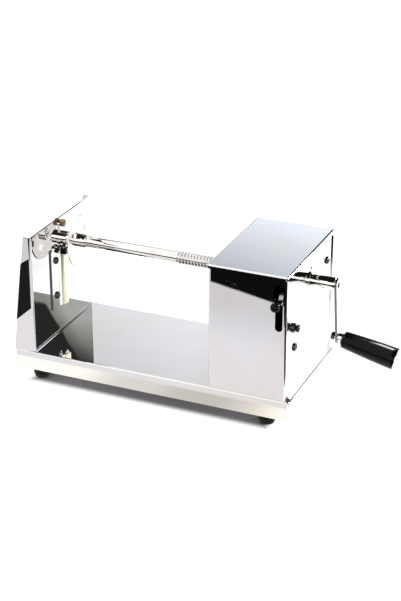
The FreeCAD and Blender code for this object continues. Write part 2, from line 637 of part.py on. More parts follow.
def make_housing_side(face, way, wall_holes):
    """Side wall with a rear flange and a floor tab; way is the side of face that is inside."""
    sheet = HOUSING_SHEET
    inside = face + way * sheet
    root = face + way * sheet / 2
    flange = sorted((root, inside + way * REAR_FLANGE))
    tab = sorted((root, inside + way * FLOOR_TAB))
    wall = block(*sorted((face, inside)), HOUSING_SEAM, SHELL_BACK, 0, SHELL_TOP)
    wall = wall.fuse(block(*flange, SHELL_BACK - sheet, SHELL_BACK, 0, SHELL_TOP))
    wall = wall.fuse(block(*tab, FLOOR_TAB_SETBACK, BASE_WIDTH - FLOOR_TAB_SETBACK, 0, sheet))
    cuts = [x_cylinder(*sorted((face, inside)), *hole) for hole in wall_holes]
    cuts += [z_cylinder(0, sheet, x, y, RIVET_R + HOLE_PLAY) for x, y in housing_rivet_places()]
    cuts += [y_hole(x, z) for x, z in cover_screw_places()]
    return wall.cut(Part.makeCompound(cuts)).removeSplitter()


def make_housing_left():
    return make_housing_side(SHELL_START, 1, [(ROD_Y, ROD_Z, BUSH_R)])


def make_housing_right():
    holes = [(ROD_Y, ROD_Z, BUSH_R + RUN), (WALL_RIVET_Y, WALL_RIVET_Z, WALL_RIVET_R)]
    holes += [(y, z, radius + HOLE_PLAY) for y, z, radius in wall_screw_places()]
    return make_housing_side(SHELL_END, -1, holes)


def lever_slot():
    """Upright slot in the front wall, wider at its head so that the knob passes."""
    front, back = SHELL_FRONT - 1, SHELL_FRONT + HOUSING_SHEET + 1
    parts = []
    for low, radius in ((LEVER_SLOT_LOW, LEVER_SLOT_R), (LEVER_SLOT_TOP - SLOT_HEAD_LENGTH, SLOT_HEAD_R)):
        centres = (low + radius, LEVER_SLOT_TOP - radius)
        parts.append(block(LEVER_MID_X - radius, LEVER_MID_X + radius, front, back, *centres))
        parts += [rod_between(V(LEVER_MID_X, front, z), V(LEVER_MID_X, back, z), radius) for z in centres]
    return parts[0].multiFuse(parts[1:])


COVER_SCREW_R = 2.0
COVER_SCREW_HEAD = 1.7


def cover_screw_places():
    xs = (SHELL_START + HOUSING_SHEET + REAR_FLANGE / 2, WALL_INSIDE - REAR_FLANGE / 2)
    return [(x, z) for x in xs for z in (COVER_SCREW_LOW, HOUSING_HEIGHT - COVER_SCREW_DROP)]


def y_hole(x, z):
    return rod_between(V(x, SHELL_BACK - HOUSING_SHEET, z), V(x, BASE_WIDTH, z), COVER_SCREW_R + HOLE_PLAY)


def make_housing_cover():
    """Lid and back wall folded from one sheet; short lips hook over the shell."""
    sheet = HOUSING_SHEET
    y0, y1 = SIDE_INSET, BASE_WIDTH - SIDE_INSET
    outer = block(HOUSING_START, HOUSING_END, y0, y1, 0, HOUSING_HEIGHT)
    outer = fillet_where(outer, COVER_BEND_R,
                         lambda edge: edge.BoundBox.ZMin > HOUSING_HEIGHT - 1e-6)
    inside = block(SHELL_START, SHELL_END, SHELL_FRONT, SHELL_BACK, -1, SHELL_TOP)
    below_lips = block(HOUSING_START - 1, HOUSING_END + 1, y0 - 1, SHELL_BACK, -1, HOUSING_HEIGHT - COVER_LIP)
    cover = outer.cut(inside).cut(below_lips)
    for x0, x1 in ((HOUSING_START - 1, SHELL_START + CORNER_RELIEF - sheet),
                   (SHELL_END - CORNER_RELIEF + sheet, HOUSING_END + 1)):
        cover = cover.cut(block(x0, x1, y0 - 1, y0 + CORNER_RELIEF, HOUSING_HEIGHT - COVER_LIP - 1, SHELL_TOP))
    holes = [y_hole(x, z) for x, z in cover_screw_places()]
    return cover.cut(Part.makeCompound(holes)).removeSplitter()


def make_cover_screw(x, z):
    grip = 2 * HOUSING_SHEET + 5.0
    return pan_screw(V(x, BASE_WIDTH - SIDE_INSET, z), Y_AXIS, COVER_SCREW_R, grip, 3.6, COVER_SCREW_HEAD)


def make_wall_bush(wall_x0, wall_x1, side, play):
    """Flanged bush for the rod; side is the wall face that its flange lies on."""
    flange_at = wall_x0 - play if side < 0 else wall_x1 + play
    nose_at = (wall_x1 if side < 0 else wall_x0) - side * (BUSH_NOSE + play)
    bore = THREAD_R + RUN
    profile = [(bore, flange_at + side * BUSH_FLANGE), (BUSH_FLANGE_R, flange_at + side * BUSH_FLANGE),
               (BUSH_FLANGE_R, flange_at), (BUSH_R, flange_at), (BUSH_R, nose_at), (bore, nose_at)]
    return turned(profile, V(0, ROD_Y, ROD_Z), X_AXIS)


WALL_RIVET_Y, WALL_RIVET_Z = ROD_Y + 3.0, ROD_Z + 12.0
WALL_RIVET_R = 0.8
WALL_RIVET_HEAD_R = 1.4


def make_wall_rivet():
    foot = V(SHELL_END, WALL_RIVET_Y, WALL_RIVET_Z)
    return pan_screw(foot, X_AXIS, WALL_RIVET_R, HOUSING_SHEET, WALL_RIVET_HEAD_R, 0.8)


# ---- clutch ----------------------------------------------------------------
PIVOT_NUT_HEIGHT = 5.0
STOP_BOLT_R = 3.0
LOW_SCREW_R = 2.0


def wall_screw_places():
    """Screws through the right wall: lever pivot, stop bolt and low bracket screw."""
    return [(PIVOT_Y, PIVOT_Z, PIVOT_R), (STOP_BOLT_Y, STOP_BOLT_Z, STOP_BOLT_R),
            (LOW_SCREW_Y, LOW_SCREW_Z, LOW_SCREW_R)]


def make_clutch_lever():
    """Swan-necked lever that hangs on the pivot and passes under the rod."""
    xs = (LEVER_START_X, LEVER_END_X)
    rear, front = ROD_Y + LEVER_WEB_HALF, ROD_Y - LEVER_WEB_HALF
    lever = yz_bar(PIVOT_Y, PIVOT_Z, rear, WEB_Z, LEVER_ARM_WIDTH, *xs)
    lever = lever.fuse(yz_bar(rear, WEB_Z, front, WEB_Z, LEVER_WEB_WIDTH, *xs))
    lever = lever.fuse(yz_bar(front, WEB_Z, LEVER_NOSE_Y, PIVOT_Z, LEVER_ARM_WIDTH, *xs))
    lever = lever.fuse(x_cylinder(*xs, PIVOT_Y, PIVOT_Z, LEVER_EYE_R))
    nose = LEVER_NOSE_Y - LEVER_ARM_WIDTH / 2
    cuts = [x_cylinder(*xs, PIVOT_Y, PIVOT_Z, PIVOT_R + RUN),
            rod_between(V(LEVER_MID_X, nose - 1, PIVOT_Z), V(LEVER_MID_X, nose + KNOB_PIN_SUNK, PIVOT_Z),
                        KNOB_PIN_R)]
    cuts += [x_cylinder(*xs, y, z, radius + HOLE_PLAY) for y, z, radius in half_nut_screw_places()]
    return lever.cut(Part.makeCompound(cuts)).removeSplitter()


def half_nut_screw_places():
    half = HALF_NUT_SCREW_SPREAD / 2
    return [(ROD_Y - half, WEB_Z, 2.0), (ROD_Y + half, WEB_Z, 2.0)]


def make_half_nut():
    """Block with an open half bore that lies against the underside of the thread."""
    top = ROD_Z - HALF_NUT_TOP_GAP
    low = WEB_Z - LEVER_WEB_WIDTH / 2 + 2.0
    x0 = LEVER_START_X - HALF_NUT_LENGTH
    nut = block(x0, LEVER_START_X, ROD_Y - HALF_NUT_WIDTH / 2, ROD_Y + HALF_NUT_WIDTH / 2, low, top)
    nut = fillet_where(nut, 3.0, lambda edge: runs_along(edge, X_AXIS) and edge.BoundBox.ZMax < low + 1)
    nut = nut.cut(x_cylinder(x0 - 1, LEVER_START_X + 1, ROD_Y, ROD_Z, THREAD_R + RUN))
    holes = [x_cylinder(LEVER_START_X - 8.0, LEVER_START_X, y, z, radius)
             for y, z, radius in half_nut_screw_places()]
    return nut.cut(Part.makeCompound(holes)).removeSplitter()


def make_half_nut_screw(y, z, radius):
    return pan_screw(V(LEVER_END_X, y, z), X_AXIS, radius, LEVER_SHEET + 8.0, 3.6, 2.4)


def make_knob_pin():
    nose = LEVER_NOSE_Y - LEVER_ARM_WIDTH / 2
    return rod_between(V(LEVER_MID_X, nose + KNOB_PIN_SUNK, PIVOT_Z), V(LEVER_MID_X, KNOB_Y, PIVOT_Z), KNOB_PIN_R)


def make_clutch_knob():
    """A black ball with a short neck, bored for the pin."""
    ball = Part.makeSphere(KNOB_R, V(LEVER_MID_X, KNOB_Y, PIVOT_Z))
    neck_end = V(LEVER_MID_X, KNOB_Y + KNOB_R + 0.8, PIVOT_Z)
    ball = ball.fuse(rod_between(V(LEVER_MID_X, KNOB_Y, PIVOT_Z), neck_end, KNOB_R * 0.62))
    return ball.cut(rod_between(V(LEVER_MID_X, KNOB_Y, PIVOT_Z), neck_end, KNOB_PIN_R)).removeSplitter()


def make_pivot_bolt():
    inner = LEVER_START_X - SIDE - WASHER - PIVOT_NUT_HEIGHT - 1.0
    return pan_screw(V(SHELL_END, PIVOT_Y, PIVOT_Z), X_AXIS, PIVOT_R, SHELL_END - inner, 4.1, 2.4)


def make_pivot_spacer():
    tube = x_cylinder(LEVER_END_X + SIDE, WALL_INSIDE, PIVOT_Y, PIVOT_Z, PIVOT_R + 2.5)
    return tube.cut(x_cylinder(LEVER_END_X + SIDE, WALL_INSIDE, PIVOT_Y, PIVOT_Z, PIVOT_R))


def make_pivot_washer():
    x1 = LEVER_START_X - SIDE
    washer = x_cylinder(x1 - WASHER, x1, PIVOT_Y, PIVOT_Z, PIVOT_R + 3.0)
    return washer.cut(x_cylinder(x1 - WASHER, x1, PIVOT_Y, PIVOT_Z, PIVOT_R))


def make_pivot_nut():
    foot = V(LEVER_START_X - SIDE - WASHER, PIVOT_Y, PIVOT_Z)
    return hexagon(foot, X_AXIS * -1, 10.0, PIVOT_NUT_HEIGHT, PIVOT_R)


# ---- clutch spring and the bracket under it --------------------------------
def make_spring_bracket():
    """Angle inside the right wall, whose shelf carries the spring."""
    sheet = SPRING_BRACKET_SHEET
    leg_x = WALL_INSIDE - sheet
    rear = SPRING_Y + SPRING_R + 3.0
    leg = block(leg_x, WALL_INSIDE, SPRING_BRACKET_FRONT, rear, SPRING_SHELF_Z - sheet, SPRING_BRACKET_TOP)
    corner = block(leg_x - 1, WALL_INSIDE + 1, SPRING_BRACKET_FRONT + SPRING_LEG_WIDTH, rear + 1,
                   SPRING_SHELF_Z + SPRING_LEG_STEP, SPRING_BRACKET_TOP + 1)
    shelf = block(LEVER_MID_X - SPRING_R - 2.0, WALL_INSIDE, SPRING_Y - SPRING_R - 3.0, rear,
                  SPRING_SHELF_Z - sheet, SPRING_SHELF_Z)
    holes = [x_cylinder(leg_x, WALL_INSIDE, y, z, radius + HOLE_PLAY)
             for y, z, radius in wall_screw_places()[1:]]
    return leg.cut(corner).fuse(shelf).cut(Part.makeCompound(holes)).removeSplitter()


def make_clutch_spring():
    """Compression spring under the lever, as the sleeve that its coils fill."""
    top = WEB_Z - LEVER_WEB_WIDTH / 2
    sleeve = z_cylinder(SPRING_SHELF_Z, top, LEVER_MID_X, SPRING_Y, SPRING_R)
    return sleeve.cut(z_cylinder(SPRING_SHELF_Z, top, LEVER_MID_X, SPRING_Y, SPRING_R - SPRING_WIRE))


def make_stop_bolt():
    """Bolt that stands out of the right wall, with a collar on the wall and a thin head."""
    shank_in = WALL_INSIDE - SPRING_BRACKET_SHEET - THIN_NUT - 0.3
    collar_out = SHELL_END + STOP_COLLAR
    head_in = SHELL_END + STOP_REACH
    bolt = x_cylinder(shank_in, head_in, STOP_BOLT_Y, STOP_BOLT_Z, STOP_BOLT_R)
    bolt = bolt.fuse(x_cylinder(SHELL_END, collar_out, STOP_BOLT_Y, STOP_BOLT_Z, STOP_COLLAR_R))
    head = hexagon(V(head_in, STOP_BOLT_Y, STOP_BOLT_Z), X_AXIS, STOP_HEAD_FLATS, STOP_HEAD)
    return bolt.fuse(head).removeSplitter()


STOP_COLLAR_R = 5.2
STOP_COLLAR = 2.2
STOP_REACH = 4.2
STOP_HEAD_FLATS = 8.0
STOP_HEAD = 2.2
THIN_NUT = 2.2


def make_stop_nut():
    foot = V(WALL_INSIDE - SPRING_BRACKET_SHEET, STOP_BOLT_Y, STOP_BOLT_Z)
    return hexagon(foot, X_AXIS * -1, 9.0, THIN_NUT, STOP_BOLT_R)


def make_low_screw():
    grip = HOUSING_SHEET + SPRING_BRACKET_SHEET + THIN_NUT
    return pan_screw(V(SHELL_END, LOW_SCREW_Y, LOW_SCREW_Z), X_AXIS, LOW_SCREW_R, grip, 4.6, 2.2)


def make_low_nut():
    foot = V(WALL_INSIDE - SPRING_BRACKET_SHEET, LOW_SCREW_Y, LOW_SCREW_Z)
    return hexagon(foot, X_AXIS * -1, 7.0, THIN_NUT, LOW_SCREW_R)


# ---- crank and grip --------------------------------------------------------
def on_grip_axis(distance):
    """Point on the grip's axis, measured outwards from the arm."""
    return CRANK_EYE + GRIP_DIRECTION * distance


def make_crank_arm():
    """Flat arm with round ends and a slanting ferrule for the grip's bolt."""
    arm = yz_bar(ROD_Y, ROD_Z, ROD_Y, ROD_Z - CRANK_RADIUS, ARM_WIDTH, ARM_START, ARM_END)
    arm = arm.fuse(rod_between(on_grip_axis(-FERRULE_IN), on_grip_axis(FERRULE_OUT), FERRULE_R))
    arm = arm.cut(x_cylinder(ARM_START, ARM_END, ROD_Y, ROD_Z, ROD_SPIGOT_R))
    arm = arm.cut(rod_between(on_grip_axis(-FERRULE_IN), on_grip_axis(FERRULE_OUT), GRIP_BOLT_R))
    return arm.removeSplitter()


def make_grip_nut():
    return hexagon(on_grip_axis(-FERRULE_IN), GRIP_DIRECTION * -1, 8.0, 4.0, GRIP_BOLT_R)


def make_grip_washer():
    ends = on_grip_axis(FERRULE_OUT), on_grip_axis(FERRULE_OUT + WASHER)
    return rod_between(*ends, FERRULE_R + 0.8).cut(rod_between(*ends, GRIP_BOLT_R))


def make_grip_bolt():
    """Long bolt through the grip; its head lies in the grip's free end."""
    seat = GRIP_STOP - GRIP_CAP_PLUG - GRIP_HEAD_HEIGHT - 1.0
    bolt = rod_between(on_grip_axis(-FERRULE_IN - 5.0), on_grip_axis(seat + SIDE), GRIP_BOLT_R)
    return bolt.fuse(rod_between(on_grip_axis(seat + SIDE), on_grip_axis(seat + SIDE + GRIP_HEAD_HEIGHT),
                                 GRIP_HEAD_R)).removeSplitter()


def make_crank_grip():
    """Tapered grip, fuller at its free end, bored for the bolt and its head."""
    bore, pocket = GRIP_BOLT_R + RUN, GRIP_HEAD_R + SIDE
    seat = GRIP_STOP - GRIP_CAP_PLUG - GRIP_HEAD_HEIGHT - 1.0
    profile = [(bore, GRIP_START), (GRIP_NECK_R - GRIP_EDGE_R, GRIP_START),
               (GRIP_NECK_R, GRIP_START + GRIP_EDGE_R),
               (GRIP_END_R - 0.4, GRIP_START + GRIP_LENGTH * 0.72), (GRIP_END_R, GRIP_STOP),
               (pocket, GRIP_STOP), (pocket, seat), (bore, seat)]
    return turned(profile, CRANK_EYE, GRIP_DIRECTION)


def make_grip_cap():
    """Bright cap pressed into the grip's free end."""
    plug = GRIP_HEAD_R + SIDE
    profile = [(0, GRIP_STOP - GRIP_CAP_PLUG), (plug, GRIP_STOP - GRIP_CAP_PLUG), (plug, GRIP_STOP),
               (GRIP_END_R, GRIP_STOP), (GRIP_END_R - 0.5, GRIP_STOP + GRIP_CAP_DOME * 0.5),
               (GRIP_END_R * 0.7, GRIP_STOP + GRIP_CAP_DOME * 0.9), (0, GRIP_STOP + GRIP_CAP_DOME)]
    return turned(profile, CRANK_EYE, GRIP_DIRECTION)


# ---- the whole machine -----------------------------------------------------
def group(shapes):
    return Part.makeCompound(list(shapes))


def build():
    """Every node of the machine by name, in the modelling frame."""
    feet = foot_places()
    nodes = {"base_pan": make_base_pan()}
    for corner, (x, y) in feet.items():
        nodes[f"foot_{corner}"] = make_foot(x, y)
    nodes["foot_studs"] = group(make_foot_stud(x, y) for x, y in feet.values())
    nodes["foot_nuts"] = group(make_foot_nut(x, y) for x, y in feet.values())
    nodes["end_bracket"] = make_end_bracket()
    nodes["bracket_rivets"] = group(make_rivet(x, y, BRACKET_SHEET) for x, y in bracket_rivet_places())
    nodes["grip_pad_front"] = make_grip_pad(SIDE_INSET - PAD_THICKNESS, SIDE_INSET)
    nodes["grip_pad_rear"] = make_grip_pad(BASE_WIDTH - SIDE_INSET + PAD_THICKNESS, BASE_WIDTH - SIDE_INSET)
    nodes["guide_strap"] = make_guide_strap()
    nodes["guide_tube"] = make_guide_tube()
    nodes["guide_nut"] = make_guide_nut()
    nodes["strap_bolt"], nodes["strap_nut"] = make_strap_bolt()
    nodes["strap_screw"] = make_strap_screw()
    nodes["knife_carrier"] = make_knife_carrier()
    nodes["knife"] = make_knife()
    nodes["knife_clamp"] = make_knife_clamp()
    nodes["clamp_screw"] = make_clamp_screw()
    nodes["knife_screws"] = group(make_knife_screw(*place) for place in knife_screw_places())
    nodes["knife_nuts"] = group(make_knife_nut(*place) for place in knife_screw_places())
    nodes["housing_front"] = make_housing_front()
    nodes["housing_left"] = make_housing_left()
    nodes["housing_right"] = make_housing_right()
    nodes["housing_cover"] = make_housing_cover()
    nodes["housing_rivets"] = group(make_rivet(x, y, HOUSING_SHEET) for x, y in housing_rivet_places())
    nodes["cover_screws"] = group(make_cover_screw(x, z) for x, z in cover_screw_places())
    nodes["wall_rivet"] = make_wall_rivet()
    nodes["left_bush"] = make_wall_bush(SHELL_START, SHELL_START + HOUSING_SHEET, -1, 0.0)
    nodes["right_bush"] = make_wall_bush(WALL_INSIDE, SHELL_END, -1, SIDE)
    nodes["pivot_bolt"] = make_pivot_bolt()
    nodes["pivot_spacer"] = make_pivot_spacer()
    nodes["pivot_washer"] = make_pivot_washer()
    nodes["pivot_nut"] = make_pivot_nut()
    nodes["spring_bracket"] = make_spring_bracket()
    nodes["stop_bolt"] = make_stop_bolt()
    nodes["stop_nut"] = make_stop_nut()
    nodes["bracket_screw"] = make_low_screw()
    nodes["bracket_screw_nut"] = make_low_nut()
    nodes["clutch_spring"] = make_clutch_spring()
    nodes["clutch_lever"] = make_clutch_lever()
    nodes["half_nut"] = make_half_nut()
    nodes["half_nut_screws"] = group(make_half_nut_screw(*place) for place in half_nut_screw_places())
    nodes["knob_pin"] = make_knob_pin()
    nodes["clutch_knob"] = make_clutch_knob()
    nodes["feed_rod"] = make_feed_rod()
    nodes["pusher_disc"] = make_pusher_disc()
    nodes["disc_collar"] = make_disc_collar()
    nodes["collar_grub"] = make_collar_grub()
    nodes["rod_end_nut"] = make_rod_end_nut()
    crank = {"crank_arm": make_crank_arm(), "grip_nut": make_grip_nut(), "grip_washer": make_grip_washer(),
             "grip_bolt": make_grip_bolt(), "crank_grip": make_crank_grip(), "grip_cap": make_grip_cap()}
    for name, shape in crank.items():
        nodes[name] = around_rod(shape, CRANK_ANGLE)
    return nodes


def footprint_shift(nodes):
    """Move that puts the origin under the middle of the machine, on the table."""
    box = group(nodes.values()).optimalBoundingBox(False)
    return V(-(box.XMin + box.XMax) / 2, -(box.YMin + box.YMax) / 2, -box.ZMin)


def main():
    os.makedirs("parts", exist_ok=True)
    nodes = build()
    shift = footprint_shift(nodes)
    for name, shape in nodes.items():
        placed = shape.copy()
        placed.translate(shift)
        placed.exportStep(f"parts/{name}.step")


main()
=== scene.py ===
"""Fine detail, finishes and stage for a hand-cranked spiral potato cutter.

The folded sheets, the disc, the bushes, the knife, the crank's arm and the
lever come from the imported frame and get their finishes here.  The feed rod, the
spring, the grip, the knob, the feet and most fasteners are built again with
their real edges, threads and recesses, and stand for the frame's pieces.
"""

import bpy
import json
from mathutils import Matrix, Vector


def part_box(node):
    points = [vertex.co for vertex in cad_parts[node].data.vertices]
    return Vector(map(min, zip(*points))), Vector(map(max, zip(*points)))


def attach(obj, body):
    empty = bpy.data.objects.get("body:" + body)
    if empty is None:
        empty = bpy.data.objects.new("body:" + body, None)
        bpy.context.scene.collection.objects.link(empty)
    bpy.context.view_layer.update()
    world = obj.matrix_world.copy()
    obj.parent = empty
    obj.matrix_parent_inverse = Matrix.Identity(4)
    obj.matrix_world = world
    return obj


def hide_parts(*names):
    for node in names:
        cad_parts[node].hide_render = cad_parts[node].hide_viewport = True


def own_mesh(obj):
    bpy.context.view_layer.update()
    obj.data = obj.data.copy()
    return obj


bl_info = {
    "name": "Spiral potato cutter",
    "version": (1, 0, 0),
    "blender": (4, 5, 0),
    "location": "3D View > Sidebar > Cutter",
    "description": "Builds the detail, finishes and stage of a hand-cranked spiral potato cutter",
    "category": "Object",
}

import json
import math

import bmesh
import bpy
from bpy.props import FloatProperty, FloatVectorProperty, IntProperty, PointerProperty
from mathutils import Matrix, Vector

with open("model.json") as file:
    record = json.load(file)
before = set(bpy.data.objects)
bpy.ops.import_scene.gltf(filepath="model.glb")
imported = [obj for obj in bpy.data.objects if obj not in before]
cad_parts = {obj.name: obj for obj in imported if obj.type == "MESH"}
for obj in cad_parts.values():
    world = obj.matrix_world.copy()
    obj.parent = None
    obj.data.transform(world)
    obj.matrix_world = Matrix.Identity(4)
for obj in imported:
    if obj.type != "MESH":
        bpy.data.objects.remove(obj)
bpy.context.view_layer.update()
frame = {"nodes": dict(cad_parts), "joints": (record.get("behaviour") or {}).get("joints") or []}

MM = 0.001
# The source measures in millimetres from the knife side of the end bracket, the pan's front edge
# and the pan's top.
PAN_CORNER = Vector((-25.8, 0.0, -21.0)) * MM
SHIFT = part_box("base_pan")[0] - PAN_CORNER
JOINTS = {joint["name"]: joint for joint in frame["joints"]}
X, Y, Z = Vector((1, 0, 0)), Vector((0, 1, 0)), Vector((0, 0, 1))
GRIP_AXIS = Vector(JOINTS["grip_spin"]["axis"])

# Places and sizes of the source, in its millimetres.
ROD_Y, ROD_Z = 70.0, 107.4
THREAD_START, THREAD_STOP = 138.0, 279.0
CRANK_RADIUS, ARM_HALF_WIDTH = 65.0, 6.5
CRANK_TURN = math.radians(9.0)  # how far the crank hangs behind straight down
ARM_INSIDE, ARM_OUTSIDE = 313.5, 316.0
BRACKET_BACK, STRAP_FACE = -1.5, 1.5
STRAP_BOLT = (66.706, 125.706)
STRAP_SCREW = (71.912, 96.771)
CARRIER_EDGE_Y = 42.3
KNIFE_START_Y, KNIFE_LOW = 62.5, 45.0
KNIFE_SCREW_Y, KNIFE_SCREW_ZS = 52.5, (46.0, 87.0)
WALL_FACE = 285.4              # outer face of the housing's right wall
BRACKET_INSIDE = 282.7         # inner face of the spring bracket on that wall
PIVOT = (122.0, 108.4)
STOP_BOLT = (23.3, 73.8)
LOW_SCREW = (27.9, 50.2)
HOUSING_BACK = 139.0
LIP_INSIDE = -19.5             # inner face of the pan's lips, under the feet's nuts
FOOT_PLACES = [(x, y) for x in (2.2, 263.4) for y in (11.5, 128.5)]


def spot(x, y, z):
    """A point in the source's millimetres, as a point of the frame in metres."""
    return Vector((x, y, z)) * MM + SHIFT


# The grip's bolt stands in the middle of the crank arm's free end.
GRIP_FOOT = spot((ARM_INSIDE + ARM_OUTSIDE) / 2, ROD_Y + CRANK_RADIUS * math.sin(CRANK_TURN),
                 ROD_Z - CRANK_RADIUS * math.cos(CRANK_TURN))


# ---- sizes and colours -----------------------------------------------------
def length(name, description, millimetres):
    return FloatProperty(name=name, description=description, default=millimetres * MM,
                         min=0.0, subtype="DISTANCE", unit="LENGTH", precision=5)


def colour(name, description, value):
    return FloatVectorProperty(name=name, description=description, default=value,
                               size=3, min=0.0, max=1.0, subtype="COLOR")


class CutterSizes(bpy.types.PropertyGroup):
    """Sizes of the details that the frame leaves plain."""
    thread_pitch: length("Thread pitch", "Travel of the feed rod for one turn of the crank", 3.6)
    thread_root: length("Thread root", "Radius of the rod at the bottom of the thread", 5.7)
    thread_crest: length("Thread crest", "Radius of the rod over the thread", 6.75)
    spring_wire: length("Spring wire", "Radius of the clutch spring's wire", 0.6)
    spring_coils: IntProperty(name="Spring coils", description="Working coils of the clutch spring",
                              default=8, min=3, max=20)
    recess_width: length("Recess width", "Width of the cross recess in the screws", 1.1)
    recess_depth: length("Recess depth", "Depth of the cross recess in the screws", 1.2)


class CutterColours(bpy.types.PropertyGroup):
    """Colours of the finishes."""
    sheet: colour("Sheet steel", "Mirror-polished stainless sheet", (0.74, 0.74, 0.75))
    sheet_warm: colour("Warm sheet steel", "Straw-coloured cloud in the sheet", (0.73, 0.71, 0.68))
    turned: colour("Turned steel", "Bright turned steel of the rod and disc", (0.84, 0.83, 0.80))
    zinc: colour("Zinc plating", "Dull plating of the fasteners", (0.46, 0.46, 0.48))
    # The near-black colour of the polished screws and bolts is a painted dark reflection of their
    # surroundings.
    painted_dark_reflection: colour("Blued steel", "Dark polished screws and bolts", (0.07, 0.07, 0.075))
    knife: colour("Knife", "Ground blade steel, a little straw-coloured", (0.93, 0.90, 0.74))
    brass: colour("Brass", "Dull brass of the strap bolt", (0.42, 0.30, 0.16))
    black: colour("Black plastic", "Moulded grip and knob", (0.003, 0.003, 0.004))
    rubber: colour("Rubber", "Feet and side pads", (0.004, 0.004, 0.004))
    floor: colour("Floor", "Pale table top", (0.86, 0.86, 0.86))


def sizes():
    return bpy.context.scene.cutter_sizes


def colours():
    return bpy.context.scene.cutter_colours


# ---- shader helpers --------------------------------------------------------
class Signal:
    """A socket that Python arithmetic works on; each operator adds its Math node."""

    def __init__(self, finish, socket):
        self.finish, self.socket = finish, socket

    def _math(self, operation, *values):
        sockets = dict(enumerate(values))
        return self.finish.add("ShaderNodeMath", {"operation": operation}, sockets)[0]

    def __add__(self, other):
        return self._math("ADD", self, other)

    def __radd__(self, other):
        return self._math("ADD", other, self)

    def __sub__(self, other):
        return self._math("SUBTRACT", self, other)

    def __rsub__(self, other):
        return self._math("SUBTRACT", other, self)

    def __mul__(self, other):
        return self._math("MULTIPLY", self, other)

    def rise(self, start, stop):
        """A smooth step from 0 to 1 as the value goes from start to stop."""
        return self.finish.add("ShaderNodeMapRange", {"interpolation_type": "SMOOTHSTEP"},
                               {0: self, 1: start, 2: stop, 3: 0.0, 4: 1.0})[0]

    def largest(self, other):
        return self._math("MAXIMUM", self, other)

    def smallest(self, other):
        return self._math("MINIMUM", self, other)


class Finish:
    """A node tree under construction, for a material or the world."""

    def __init__(self, tree):
        self.tree = tree
        self.tree.nodes.clear()

    def add(self, kind, settings=None, sockets=None):
        """Add a node, with its settings first and then its inputs, and give its outputs."""
        node = self.tree.nodes.new(kind)
        for key, value in (settings or {}).items():
            setattr(node, key, value)
        for key, value in (sockets or {}).items():
            if isinstance(key, int):
                socket = node.inputs[key]
            else:
                socket = next(each for each in node.inputs if each.enabled and each.name == key)
            if isinstance(value, Signal):
                self.tree.links.new(value.socket, socket)
            else:
                socket.default_value = value
        return [Signal(self, socket) for socket in node.outputs if socket.enabled]

    def read(self, kind, *names):
        """Add a node without inputs and give its outputs of those names."""
        outputs = {output.socket.name: output for output in self.add(kind)}
        return [outputs[name] for name in names]

    def place(self, scale=(1.0, 1.0, 1.0)):
        """Object coordinates, stretched."""
        local, = self.read("ShaderNodeTexCoord", "Object")
        return self.add("ShaderNodeMapping", {"vector_type": "POINT"},
                        {"Vector": local, "Scale": scale})[0]

    def split(self, vector):
        """The three components of a vector."""
        return self.add("ShaderNodeSeparateXYZ", {}, {"Vector": vector})

    def noise(self, where, scale, detail=2.0, roughness=0.5):
        return self.add("ShaderNodeTexNoise", {"noise_dimensions": "3D"},
                        {"Vector": where, "Scale": scale, "Detail": detail,
                         "Roughness": roughness})[0]

    def mix(self, factor, first, second):
        """Blend two colours."""
        return self.add("ShaderNodeMix", {"data_type": "RGBA"},
                        {"Factor": factor, "A": opaque(first), "B": opaque(second)})[0]

    def bump(self, height, distance):
        return self.add("ShaderNodeBump", {},
                        {"Strength": 1.0, "Distance": distance, "Height": height})[0]

    def glow(self, tint, strength):
        return self.add("ShaderNodeEmission", {}, {"Color": opaque(tint), "Strength": strength})[0]

    def diffuse(self, tint):
        return self.add("ShaderNodeBsdfDiffuse", {}, {"Color": opaque(tint)})[0]

    def blend(self, factor, first, second):
        """Mix two shaders."""
        return self.add("ShaderNodeMixShader", {}, {0: factor, 1: first, 2: second})[0]

    def principled(self, **sockets):
        named = {key.replace("_", " "): value for key, value in sockets.items()}
        self.surface(self.add("ShaderNodeBsdfPrincipled", {}, named)[0])

    def surface(self, shader):
        self.add("ShaderNodeOutputMaterial", {}, {"Surface": shader})


def opaque(value):
    return value if isinstance(value, Signal) else (*value, 1.0)


def material(name, paint):
    """The material of that name, painted by its function the first time that it is asked for."""
    found = bpy.data.materials.get(name)
    if found is None:
        found = bpy.data.materials.new(name)
        found.use_nodes = True
        paint(Finish(found.node_tree))
    return found


# ---- finishes --------------------------------------------------------------
WHITE = (1.0, 1.0, 1.0)
# The first colour is a painted shade along the knife carrier's front edge; the second is the crank
# arm's sawn edges.
PAINTED_EDGE_SHADE, SAWN_BAR = (0.10, 0.095, 0.10), (0.11, 0.11, 0.112)
# The first colour is the dark brown of the rod's thread grooves, heaviest on the underside: an oily
# stain and painted shade.
OIL_AND_PAINTED_SHADE, KNIFE_STAIN = (0.05, 0.035, 0.02), (0.22, 0.20, 0.12)
WARM_KNIFE, DARK_BRASS = (0.88, 0.84, 0.66), (0.20, 0.13, 0.07)
DARK_ZINC = (0.30, 0.29, 0.28)
PALE_MILD, DARK_MILD = (0.50, 0.50, 0.52), (0.40, 0.39, 0.38)
PALE_WIRE, DARK_WIRE = (0.40, 0.40, 0.42), (0.24, 0.23, 0.24)
SCUFFED_PLASTIC, DUSTY_RUBBER = (0.016, 0.016, 0.018), (0.02, 0.02, 0.019)
DULL_GLOSS = 0.12              # specular level of the plastic and the rubber


